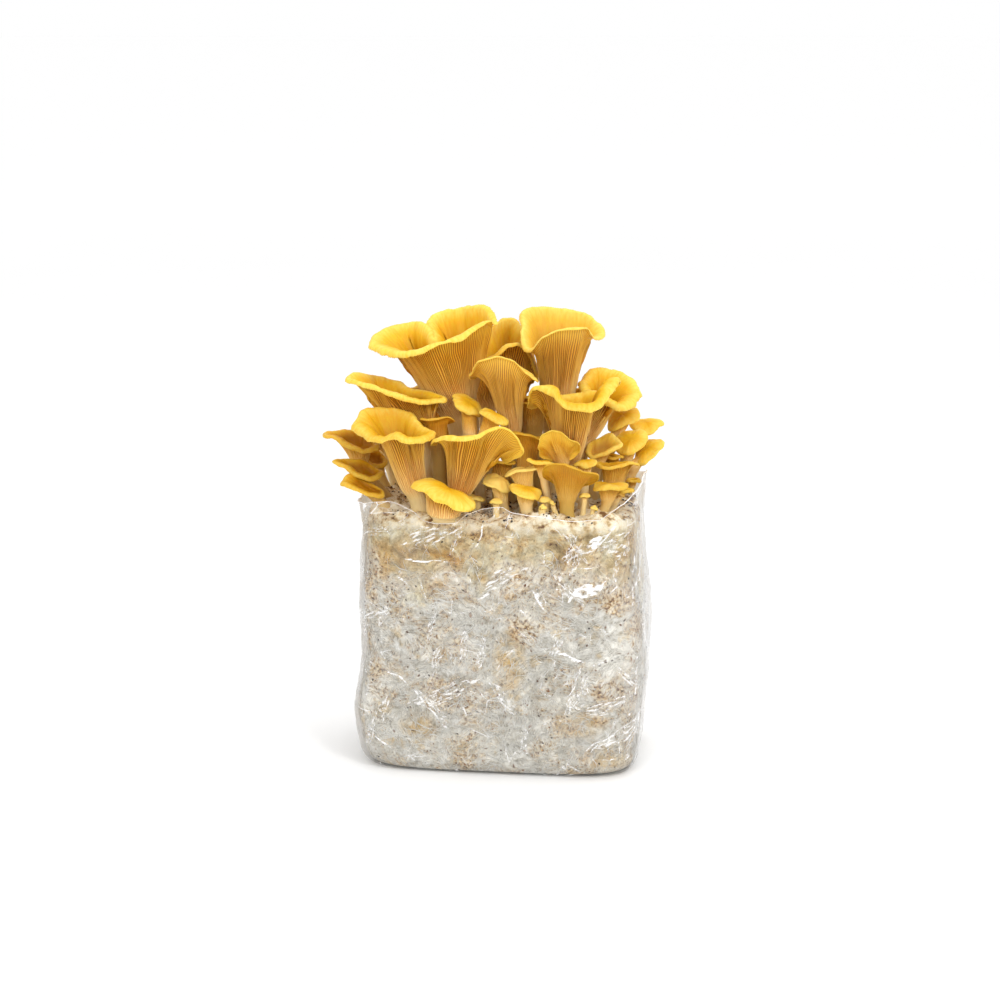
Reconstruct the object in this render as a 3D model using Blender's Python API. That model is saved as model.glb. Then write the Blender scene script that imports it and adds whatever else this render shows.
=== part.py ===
"""Golden oyster mushrooms growing out of the open top of a bagged block of grain and sawdust.

Metres, +Z up, origin at the middle of the bag's base. The bag's broad front face looks to -Y.
The mushrooms are laid out in a frame turned by CLUSTER_TURN about +Z: a place there is
(across, depth, height) in millimetres, with depth growing towards the back.
"""
import math
from collections import namedtuple

import bpy
import numpy as np

MM = 0.001
UP = np.array([0.0, 0.0, 1.0])
GAP = 0.3

BAG_WIDTH = 194.0
BAG_DEPTH = 118.0
BAG_SQUARENESS = 4.6
FILM = 1.0
BLOCK_CLEARANCE = FILM + 0.9
# The bag's open edge, from its front left corner along the front, right, back and left: a place
# on it, and how high the edge stands there.
COLLAR = [
    (-86, -50, 189.5), (-77, -59, 192.5), (-67, -59, 191), (-53, -59, 184), (-48, -59, 180.5),
    (-35, -59, 179.5), (-25, -59, 180), (-19, -59, 186), (-8, -59, 190), (6, -59, 190.5),
    (11, -59, 188), (25, -59, 185.5), (53, -59, 183), (74, -59, 182.5), (84, -56, 190),
    (93, -45, 199), (96, -25, 203.5), (97, -5, 205.5), (97, 15, 203), (96, 35, 198),
    (90, 52, 194), (60, 59, 191), (30, 59, 189), (0, 59, 190), (-30, 59, 188), (-60, 59, 191),
    (-88, 52, 190), (-97, 25, 188), (-97, 0, 190), (-97, -25, 187), (-94, -42, 188)]
BAG_COLUMNS = 32
# Height of each ring of the bag's wall, and how far it lies outside the nominal outline.
BAG_WALL = [(0.0, -11.0), (3.0, -4.0), (11.0, 0.0), (60.0, 2.5), (120.0, 2.0), (170.0, 0.0)]

BLOCK_TOP = 180.0
BLOCK_EDGE = 5.0
STANDING = BLOCK_TOP + GAP
CLUSTER_TURN = math.radians(7.0)

RIM_THICKNESS = 1.2
FLESH_THICKNESS = 3.4
# How far the wall keeps the stem's direction, and the margin's, as a share of its length.
NECK_PULL = 0.28
MARGIN_PULL = 0.30
BIG_STEM_ROWS = (0.0, 0.5)
BIG_CAP_ROWS = (0.0, 0.25, 0.5, 0.75, 0.92, 1.0)
BIG_HOLLOW_ROWS = (1.0, 0.9, 0.68, 0.42, 0.18)
SMALL_STEM_ROWS = (0.0,)
SMALL_CAP_ROWS = (0.0, 0.4, 0.78, 1.0)
SMALL_HOLLOW_ROWS = (1.0, 0.78, 0.4)
SMALL_CROWN_ROWS = (1.0, 0.6)
SMALL_SIDES = 8
SMALL_FLARE = 24.0

# A large cap. `lean` is how far the stem leans to the right and to the back at the neck, for each
# unit up, and `flare` how many degrees further the wall opens there. `crown` is how far the top
# bulges, or None where the cap is hollow like a funnel. The margin is a loop of
# (across, depth, height, roll), counter-clockwise seen from above. Roll is the slope in degrees
# at which the wall reaches the margin: 90 is straight up, 0 level and -90 rolled over, hanging.
Large = namedtuple("Large", "name foot foot_radius neck neck_radius lean flare crown rim")
LARGE = [
    Large("top_left_funnel", (-34, 22), 12.0, (-32, 22, 241), 12.0, (-0.45, -0.05), 28, None, [
        (-8, 25, 302, 70), (-15, 38, 312, 75), (-35, 50, 308, 60), (-52, 48, 302, 60),
        (-49, 30, 290, 60), (-56, 38, 300, 45), (-70, 48, 300, 30), (-86, 40, 296, 25),
        (-94, 20, 290, 15), (-80, 2, 287, 10), (-64, -6, 288, 20), (-45, -6, 294, 40),
        (-26, 0, 301, 55), (-13, 10, 305, 65)]),
    Large("top_middle_funnel", (5, 46), 7.0, (5, 46, 238), 8.0, (-0.1, 0.0), 16, None, [
        (24, 47, 260, -50), (23, 57, 270, -20), (16, 64, 288, 30), (6, 70, 298, 55),
        (-6, 68, 296, 55), (-15, 60, 287, 35), (-20, 48, 278, 0), (-16, 34, 276, -10),
        (-8, 28, 280, 20), (3, 29, 286, 45), (14, 34, 285, 20), (21, 41, 272, -30)]),
    Large("top_right_funnel", (37, 34), 9.5, (37, 34, 240), 10.5, (0.05, 0.0), 14, None, [
        (67, 32, 293, 10), (70, 42, 296, 20), (61, 58, 302, 50), (47, 64, 306, 60),
        (31, 64, 308, 65), (16, 56, 308, 60), (12, 44, 302, 50), (13, 28, 291, 40),
        (18, 16, 286, 35), (27, 8, 296, 60), (40, 6, 301, 75), (55, 12, 301, 70),
        (61, 20, 294, 30)]),
    Large("centre_tall", (5, 2), 6.0, (5, 2, 229), 5.8, (-0.05, 0.0), 24, None, [
        (22, -2, 268, 5), (15, 14, 272, 30), (2, 22, 275, 50), (-12, 18, 272, 40),
        (-22, 8, 269, 0), (-23, -4, 275, 10), (-16, -14, 283, 50), (-6, -18, 286, 65),
        (5, -17, 283, 60), (14, -12, 275, 35)]),
    Large("right_rolled", (44, -7), 7.0, (44, -10, 212), 7.2, (0.05, -0.1), 30, None, [
        (77, -16, 272, 0), (70, 0, 261, 30), (59, 6, 257, 40), (45, 7, 254, 45),
        (30, 2, 254, 40), (19, -5, 251, 15), (16, -12, 257, 0), (19, -19, 265, 5),
        (24, -25, 268, -5), (30, -32, 265, -45), (35, -38, 260, -80), (42, -41, 256, -90),
        (53, -42, 255, -95), (60, -40, 255, -90), (66, -35, 258, -80), (72, -27, 266, -40)]),
    Large("right_back_fan", (52, 19), 5.5, (56, 21, 221), 5.8, (0.4, 0.1), 30, None, [
        (94, 24, 255, -5), (89, 34, 262, 10), (82, 42, 266, 20), (70, 46, 268, 25),
        (61, 43, 266, 25), (54, 33, 260, 20), (55, 21, 256, 10), (62, 14, 254, 0),
        (71, 9, 250, -15), (79, 6, 247, -25), (88, 12, 249, -15)]),
    Large("left_slanted", (-60, 5), 8.0, (-56, 3, 229), 8.0, (-0.8, -0.3), 34, None, [
        (-42, -2, 255, -10), (-52, 6, 257, 20), (-66, 18, 259, 40), (-78, 26, 262, 40),
        (-92, 28, 265, 40), (-102, 18, 269, 35), (-108, 6, 267, 35), (-100, -6, 267, 30),
        (-89, -12, 264, 15), (-74, -14, 260, 0), (-62, -14, 256, -10), (-51, -9, 253, -20)]),
    Large("left_front_funnel", (-57, -33), 7.5, (-61, -38.5, 200), 9.0, (-0.45, -0.1), 15, None, [
        (-48, -40, 239, -10), (-55, -28, 239, 30), (-65, -14, 244, 45), (-75, -8, 248, 50),
        (-88, -10, 249, 45), (-98, -16, 248, 20), (-103, -26, 242, -15), (-98, -38, 239, -30),
        (-91, -48, 236, -35), (-84, -54, 235, -40), (-76, -60, 239, -45), (-66, -62, 238, -50),
        (-58, -58, 236, -50), (-50, -48, 237, -40)]),
    Large("centre_front_broad", (-31, -28), 6.0, (-32, -32, 192), 5.4, (0.15, -0.2), 36, None, [
        (7, -40, 221, -40), (0, -30, 219, -30), (-6, -20, 226, 20), (-16, -16, 230, 45),
        (-30, -17, 230, 50), (-42, -25, 231, 40), (-49, -38, 232, 10), (-46, -52, 237, -10),
        (-39, -60, 241, -20), (-30, -64, 240, -20), (-21, -66, 241, -10), (-11, -65, 245, 15),
        (-2, -60, 246, 25), (7, -54, 240, 20), (11, -47, 229, -10)]),
    Large("front_drooping", (-41, -43), 9.0, (-41.5, -47.5, 185), 11.6, (0.05, -0.2), 10, 4, [
        (-20, -53, 193, -20), (-25, -46, 195, 0), (-33, -43, 197, 0), (-41, -43, 202, 0),
        (-47, -45, 206, 10), (-53, -49, 208, 0), (-59, -54, 208, -10), (-59, -58, 206, -30),
        (-54, -61, 203, -40), (-48, -62.5, 199, -40), (-43, -63, 196, -40),
        (-36, -63, 193, -40), (-28, -62.5, 191, -50), (-21, -58, 191, -40)]),
]

# A small cap: its margin is an ellipse round `cap`, `half` its size across and in depth. The
# first tilt lowers its front edge and the second its right edge. `crown` is how far the top
# bulges, or None where the cap is hollow like a funnel.
Small = namedtuple("Small", "name foot neck cap half tilt roll crown stem")
SMALL = [
    Small("inner_left_tongue", (-26, 0), (-24, -6, 228), (-26, 0, 250), (11, 9), (25, 32), 10, 2, 3.5),
    Small("inner_right_tongue", (-17, -7), (-16, -10, 226), (-8, -12, 245), (10, 5.5), (15, 26), 10, 2, 3.2),
    Small("hidden_left", (-44, -15), (-46, -17, 221), (-48, -16, 242), (11, 7), (-25, 0), 30, None, 4.5),
    Small("shaded_front", (17, -12), (14, -14, 204), (16, -13, 231), (12.5, 8.5), (-8, 5), 25, None, 4.5),
    Small("shaded_back", (20, 17), (20, 17, 232), (20.5, 17.5, 247), (11, 9), (-20, 0), 30, None, 5.8),
    Small("round_spoon", (40, -22), (40, -25, 211), (36, -29, 227), (13, 11), (-65, 0), 15, 0.6, 3.0),
    Small("right_arched", (31, -32), (26.8, -33.4, 205), (24.8, -31.5, 217.2), (10, 5.2), (-8, 12), -5, None, 2.7),
    Small("right_fan", (42, -42), (42, -43, 191), (43, -41.5, 209.5), (17, 12), (-45, 5), 10, None, 4.5),
    Small("behind_fan", (54, -23), (55, -22, 206), (55, -21.5, 214), (7, 5), (8, -6), 0, 1.5, 3.0),
    Small("right_trumpet", (75, 0), (75, -5, 190), (78, -3.5, 209.5), (15, 11), (-6, 0), 0, None, 5.0),
    Small("right_hook", (66, -34), (70, -33, 189), (71, -32, 200), (11, 8.5), (2, -3), 0, 1, 3.6),
    Small("hook_bud", (59, -42), (60, -42, 186), (61, -42, 188), (2.5, 2.5), (0, 20), 0, 1, 1.6),
    Small("right_sliver", (74, -22), (77, -22, 189), (83, -22, 194), (5, 4), (0, -8), 10, None, 2.5),
    Small("right_edge_button", (87, 22), (90, 20, 188), (91, 20, 193), (4, 4), (0, 0), 20, None, 2.0),
    Small("right_twisted", (63, 13), (64, 9, 204), (68, 8.5, 219.5), (12.5, 9), (32, -20), 0, None, 3.5),
    Small("right_middle_leaf", (70, 28), (86, 25, 206), (89, 23, 219.5), (10.5, 10), (42, -10), 0, 2, 3.5),
    Small("right_upper_leaf", (75, 34), (96, 38, 222), (101, 41, 228), (10, 8.5), (25, -8), 0, 2, 3.2),
    Small("right_tongue", (84, 29), (90, 28, 197), (101.8, 28, 212.5), (12, 9), (16, -36), 0, 2, 3.4),
    Small("right_back_leaf", (64, 38), (79, 33, 222), (84, 33, 235.5), (10.5, 9), (30, -25), 0, 2, 3.5),
    Small("front_dome", (0, -32), (-2, -32, 189), (-5, -30, 202), (9, 8), (15, 25), 0, 4, 3.5),
    Small("front_flared", (15, -27), (14, -28, 194), (12, -27, 210), (10.5, 7.5), (-5, -14), 15, None, 4.0),
    Small("front_thick", (16, -41), (14, -42, 189), (14, -41, 198), (10.5, 8), (10, 18), 0, 2, 4.0),
    Small("front_pin_left", (-19, -26), (-19, -26, 187), (-20, -26, 190), (5.3, 4.5), (0, 12), 0, 1, 2.0),
    Small("front_pin_middle", (-6, -42), (-6, -42, 188), (-6, -42, 192), (3.2, 3), (0, 0), 0, 1, 1.8),
    Small("front_pin_right", (29, -40), (28, -40, 189), (27, -40, 192), (3.5, 3), (0, 0), 0, 1.5, 1.8),
    Small("front_pin_far_right", (34, -44), (33, -44, 188), (32, -44, 191), (2.5, 2.5), (0, 15), 0, 1, 1.6),
    Small("front_pin_low", (25, -50), (25, -50, 187), (25, -50, 190), (2.6, 2.6), (0, 0), 0, 1.5, 2.2),
    Small("fan_side_pin", (53, -38), (54, -38, 191), (54, -38, 195), (3.5, 3.2), (0, 0), 0, 0.5, 1.6),
    Small("left_top_leaf", (-84, 10), (-101, 8, 207), (-106, 6, 225), (19, 13), (12, 12), -10, None, 4.5),
    Small("left_inner_leaf", (-82, 24), (-89, 24, 197), (-94, 24, 209), (11, 9), (20, 20), 0, None, 3.5),
    Small("left_middle_leaf", (-84, -8), (-95, -12, 196), (-100, -15, 209), (16, 11), (12, 14), 0, None, 4.0),
    Small("left_low_leaf", (-80, -24), (-89, -28, 192), (-98, -31, 200), (14.5, 9), (15, 20), 0, None, 3.8),
    Small("gap_slender", (14, 30), (14, 29, 240), (14, 31, 250), (8, 7), (-10, 0), 30, None, 3.0),
    Small("back_left_broad", (-68, 50), (-72, 50, 226), (-77, 52, 250), (20, 15), (-15, -8), 30, None, 5.0),
    Small("back_centre_left", (-11, 50), (-13, 54, 236), (-18, 60, 259), (13, 11), (-20, 0), 40, None, 5.6),
    Small("back_right_broad", (53, 41), (57, 53, 225), (60, 60, 247), (18, 13), (-20, 5), 30, None, 4.5),
    Small("back_low_left", (-46, 46), (-47, 48, 212), (-47, 52, 240), (13, 12), (-18, 0), 35, None, 5.5),
    Small("back_low_middle", (-30, 52), (-29, 62, 207), (-30, 68, 218), (13, 10.5), (-20, 5), 30, None, 4.0),
    Small("back_low_right", (24, 46), (27, 56, 206), (29, 62, 216), (14, 10), (-18, 8), 30, None, 4.0),
    Small("shaded_low_centre", (-3, -13), (-3, -13, 199), (-2, -12, 212), (9, 6), (-5, 0), 20, None, 5.2),
    Small("shaded_right_back", (76, 17), (76, 16, 200), (76, 15, 211), (6.5, 5.5), (0, 0), 25, None, 3.8),
    Small("back_left_edge", (-78, 42), (-86, 46, 206), (-92, 48, 215), (11, 9), (-10, -15), 10, None, 3.5),
]


def smooth_loop(points, per_span):
    """Points along a smooth closed curve through `points`, `per_span` to each stretch."""
    p = np.array(points, float)
    rows = []
    for i in range(len(p)):
        before, start, end, after = (p[(i + k - 1) % len(p)] for k in range(4))
        for j in range(per_span):
            f = j / per_span
            rows.append(0.5 * (2 * start + (end - before) * f
                               + (2 * before - 5 * start + 4 * end - after) * f ** 2
                               + (3 * start - before - 3 * end + after) * f ** 3))
    return np.array(rows)


def unit(v):
    return v / np.linalg.norm(v, axis=-1, keepdims=True)


def ellipse_rim(small):
    """The margin of a small cap: a slightly uneven ellipse, tilted about its centre."""
    fore, side = (math.radians(a) for a in small.tilt)
    phase = small.cap[0] + 0.37 * small.cap[2]
    rows = []
    for i in range(SMALL_SIDES):
        turn = 2 * math.pi * i / SMALL_SIDES
        reach = 1 + 0.06 * math.sin(2 * turn + phase) + 0.05 * math.sin(3 * turn + 2 * phase)
        x, y = small.half[0] * reach * math.cos(turn), small.half[1] * reach * math.sin(turn)
        z = 0.06 * small.half[0] * math.sin(3 * turn + phase)
        y, z = y * math.cos(fore) - z * math.sin(fore), y * math.sin(fore) + z * math.cos(fore)
        x, z = x * math.cos(side) + z * math.sin(side), z * math.cos(side) - x * math.sin(side)
        rows.append((small.cap[0] + x, small.cap[1] + y, small.cap[2] + z, small.roll))
    return np.array(rows)


def bezier(p0, p1, p2, p3, t):
    return (1 - t) ** 3 * p0 + 3 * (1 - t) ** 2 * t * p1 + 3 * (1 - t) * t ** 2 * p2 + t ** 3 * p3


def cross_axes(direction):
    """Two axes across a stem, the first towards the right and the second towards the back."""
    first = unit(np.cross((0.0, 1.0, 0.0), direction))
    return first, np.cross(direction, first)


def neck_turns(rim, neck, axes):
    """The angle round the neck at which the cap's wall towards each margin point starts."""
    away = rim[:, :3] - neck
    real = np.unwrap(np.arctan2(away @ axes[1], away @ axes[0]))
    even = 2 * np.pi * np.arange(len(rim)) / len(rim)
    return 0.6 * real + 0.4 * (even + np.mean(real - even))


def wall_normals(grid):
    """Unit normals of a cap's wall, pointing to its outer, gilled side. grid is [row, column]."""
    around = np.roll(grid, -1, axis=1) - np.roll(grid, 1, axis=1)
    return unit(np.cross(around, np.gradient(grid, axis=0)))


def stem_lean(neck, rim):
    """A small cap's stem curves half-way over towards the middle of the cap."""
    return unit(UP + unit(rim[:, :3].mean(axis=0) - neck))


def mushroom(foot, foot_radius, neck, neck_radius, lean, flare, rim, crown, rows):
    """Rings of points from the foot up the stem, out to the margin and back over the top."""
    stem_rows, cap_rows, hollow_rows = rows
    foot = np.array([foot[0], foot[1], STANDING])
    third = (neck[2] - foot[2]) / 3
    axes = cross_axes(lean)
    turns = neck_turns(rim, neck, axes)
    rings = []
    for t in stem_rows:
        centre = bezier(foot, foot + third * UP, neck - third * lean, neck, t)
        first, second = cross_axes(unit((1 - t) * UP + t * lean))
        radius = (1 - t) * foot_radius + t * neck_radius
        rings.append(centre + radius * (np.outer(np.cos(turns), first)
                                        + np.outer(np.sin(turns), second)))
    outwards = np.outer(np.cos(turns), axes[0]) + np.outer(np.sin(turns), axes[1])
    start = neck + neck_radius * outwards
    leaving = math.cos(math.radians(flare)) * lean + math.sin(math.radians(flare)) * outwards
    margin = rim[:, :3]
    along = np.roll(margin, -1, axis=0) - np.roll(margin, 1, axis=0)
    axis = unit(np.cross(margin, np.roll(margin, -1, axis=0)).sum(axis=0)
                - np.cross(margin.mean(axis=0), along.sum(axis=0)))
    roll = np.radians(rim[:, 3:4])
    arrival = np.cos(roll) * unit(np.cross(along, axis)) + np.sin(roll) * axis
    length = np.linalg.norm(margin - start, axis=1, keepdims=True)
    controls = (start, start + NECK_PULL * length * leaving,
                margin - MARGIN_PULL * length * arrival, margin)
    rings.extend(bezier(*controls, s) for s in cap_rows)
    if crown is None:
        fine = np.array([bezier(*controls, s) for s in np.linspace(0, 1, 51)])
        normals = wall_normals(fine)
        for s in hollow_rows:
            k = int(round(50 * s))
            flesh = RIM_THICKNESS + (FLESH_THICKNESS - RIM_THICKNESS) * (1 - s) ** 2
            rings.append(fine[k] - flesh * normals[k])
        pole = rings[-1].mean(axis=0)
    else:
        middle = margin.mean(axis=0)
        for s in hollow_rows:
            rise = RIM_THICKNESS + crown * (1 - s ** 2)
            rings.append(middle + (margin - middle) * s + rise * axis)
        pole = middle + (RIM_THICKNESS + crown) * axis
    return rings, foot, pole


def turned(points):
    """The cluster's own frame put into the bag's frame, in metres."""
    c, s = math.cos(CLUSTER_TURN), math.sin(CLUSTER_TURN)
    p = np.atleast_2d(points)
    return np.column_stack((c * p[:, 0] - s * p[:, 1], s * p[:, 0] + c * p[:, 1], p[:, 2])) * MM


def skin(rings, first_cap, last_cap):
    """Vertices and faces of a closed body: rings joined in order, each end closed to a point."""
    sides = len(rings[0])
    points = [first_cap] + [p for ring in rings for p in ring] + [last_cap]
    faces = []
    for j in range(sides):
        k = (j + 1) % sides
        faces.append((0, 1 + k, 1 + j))
        for r in range(len(rings) - 1):
            a = 1 + r * sides
            faces.append((a + j, a + k, a + sides + k, a + sides + j))
        a = 1 + (len(rings) - 1) * sides
        faces.append((a + j, a + k, len(points) - 1))
    return points, faces


def material(name, colour, roughness, transmission=0.0):
    """A plain finish for one kind of surface."""
    finish = bpy.data.materials.new(name)
    finish.use_nodes = True
    shader = finish.node_tree.nodes["Principled BSDF"]
    shader.inputs["Base Color"].default_value = (*colour, 1.0)
    shader.inputs["Roughness"].default_value = roughness
    shader.inputs["Metallic"].default_value = 0.0
    shader.inputs["Transmission Weight"].default_value = transmission
    return finish


def add_body(name, points, faces, finish):
    mesh = bpy.data.meshes.new(name)
    mesh.from_pydata([tuple(map(float, p)) for p in points], [], faces)
    mesh.materials.append(finish)
    mesh.shade_smooth()
    body = bpy.data.objects.new(name, mesh)
    bpy.context.scene.collection.objects.link(body)
    return body


def add_mushroom(name, rings, foot, pole, finish):
    points, faces = skin(rings, foot, pole)
    return add_body(name, turned(points), faces, finish)


def bag_outline(outset):
    """Evenly spaced points round a rounded rectangle, from its front left corner to the right."""
    turn = math.radians(225) + 2 * np.pi * np.arange(721) / 720
    power = 2 / BAG_SQUARENESS
    half_width, half_depth = BAG_WIDTH / 2 + outset, BAG_DEPTH / 2 + outset
    curve = np.column_stack((half_width * np.sign(np.cos(turn)) * np.abs(np.cos(turn)) ** power,
                             half_depth * np.sign(np.sin(turn)) * np.abs(np.sin(turn)) ** power))
    along = np.insert(np.cumsum(np.linalg.norm(np.diff(curve, axis=0), axis=1)), 0, 0.0)
    places = along[-1] * np.arange(BAG_COLUMNS) / BAG_COLUMNS
    return np.column_stack([np.interp(places, along, curve[:, k]) for k in range(2)])


def level_ring(outset, height):
    outline = bag_outline(outset)
    return np.column_stack((outline, np.broadcast_to(height, len(outline))))


def collar_height(places):
    """How high the bag's open edge stands at each place, looked up by its bearing from the middle."""
    x, y, height = np.array(COLLAR, float).T
    return np.interp(np.degrees(np.arctan2(places[:, 1], places[:, 0])), np.degrees(np.arctan2(y, x)),
                     height, period=360)


def make_bag(finish):
    collar = collar_height(bag_outline(0.5))
    outer = [level_ring(outset, height) for height, outset in BAG_WALL] + [level_ring(0.5, collar)]
    inner = [level_ring(0.5 - FILM, collar)]
    inner += [level_ring(outset - FILM, max(height, FILM)) for height, outset in reversed(BAG_WALL)]
    middle_outside = np.array([0.0, 0.0, 0.0])
    middle_inside = np.array([0.0, 0.0, FILM])
    points, faces = skin(outer + inner, middle_outside, middle_inside)
    return add_body("bag_film", np.array(points) * MM, faces, finish)


def make_block(finish):
    """The grown-through block, which fills the bag up to a flat top with a rounded edge."""
    rings = [level_ring(outset - BLOCK_CLEARANCE, max(height, BLOCK_CLEARANCE))
             for height, outset in BAG_WALL]
    rings.append(level_ring(-BLOCK_CLEARANCE, BLOCK_TOP - BLOCK_EDGE))
    rings.append(level_ring(-BLOCK_CLEARANCE - 0.3 * BLOCK_EDGE, BLOCK_TOP - 0.3 * BLOCK_EDGE))
    rings.append(level_ring(-BLOCK_CLEARANCE - BLOCK_EDGE, BLOCK_TOP))
    base = np.array([0.0, 0.0, BLOCK_CLEARANCE])
    top = np.array([0.0, 0.0, BLOCK_TOP])
    points, faces = skin(rings, base, top)
    return add_body("substrate_block", np.array(points) * MM, faces, finish)


def main():
    for old in list(bpy.data.objects):
        bpy.data.objects.remove(old, do_unlink=True)
    flesh = material("mushroom_flesh", (0.80, 0.50, 0.10), 0.6)
    make_bag(material("clear_film", (0.85, 0.85, 0.83), 0.15, 0.8))
    make_block(material("mycelium_block", (0.72, 0.68, 0.58), 0.9))
    rows = (BIG_STEM_ROWS, BIG_CAP_ROWS, BIG_HOLLOW_ROWS)
    for m in LARGE:
        lean = unit(np.array([*m.lean, 1.0]))
        rim = smooth_loop(m.rim, 1)
        shape = mushroom(m.foot, m.foot_radius, np.array(m.neck, float), m.neck_radius, lean,
                         m.flare, rim, m.crown, rows)
        add_mushroom(m.name, *shape, flesh)
    for m in SMALL:
        rows = (SMALL_STEM_ROWS, SMALL_CAP_ROWS, SMALL_HOLLOW_ROWS if m.crown is None else SMALL_CROWN_ROWS)
        rim = ellipse_rim(m)
        neck = np.array(m.neck, float)
        shape = mushroom(m.foot, 1.15 * m.stem, neck, 1.2 * m.stem, stem_lean(neck, rim),
                         SMALL_FLARE, rim, m.crown, rows)
        add_mushroom(m.name, *shape, flesh)


main()
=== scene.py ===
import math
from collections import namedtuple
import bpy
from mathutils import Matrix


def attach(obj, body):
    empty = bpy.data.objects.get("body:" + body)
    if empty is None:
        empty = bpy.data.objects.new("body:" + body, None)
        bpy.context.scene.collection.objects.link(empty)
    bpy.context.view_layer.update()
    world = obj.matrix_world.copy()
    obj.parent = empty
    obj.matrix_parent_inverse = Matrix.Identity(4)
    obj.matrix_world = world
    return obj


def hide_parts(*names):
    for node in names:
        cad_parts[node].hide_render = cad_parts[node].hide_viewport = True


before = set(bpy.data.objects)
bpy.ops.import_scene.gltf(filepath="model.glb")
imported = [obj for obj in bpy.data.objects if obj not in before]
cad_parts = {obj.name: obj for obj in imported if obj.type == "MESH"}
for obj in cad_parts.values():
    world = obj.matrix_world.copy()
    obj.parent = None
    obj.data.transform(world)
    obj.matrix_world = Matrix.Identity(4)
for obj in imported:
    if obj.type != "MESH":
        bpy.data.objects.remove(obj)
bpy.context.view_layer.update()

# Golden oyster mushrooms growing out of the open top of a bagged, grown-through block.
#
# Metres, +Z up, origin at the middle of the bag's base, the bag's broad front face to -Y. Sizes in
# the tables are millimetres. The mushrooms are laid out in a frame turned by CLUSTER_TURN about +Z:
# a place there is (across, depth, height), with depth growing towards the back.
from copy import copy
from functools import partialmethod, reduce

import bpy
import numpy as np
from mathutils import Vector

MM = 0.001
UP = np.array([0.0, 0.0, 1.0])
CLUSTER_TURN = math.radians(7.0)

# ---------------------------------------------------------------- the mushrooms' tables

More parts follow.
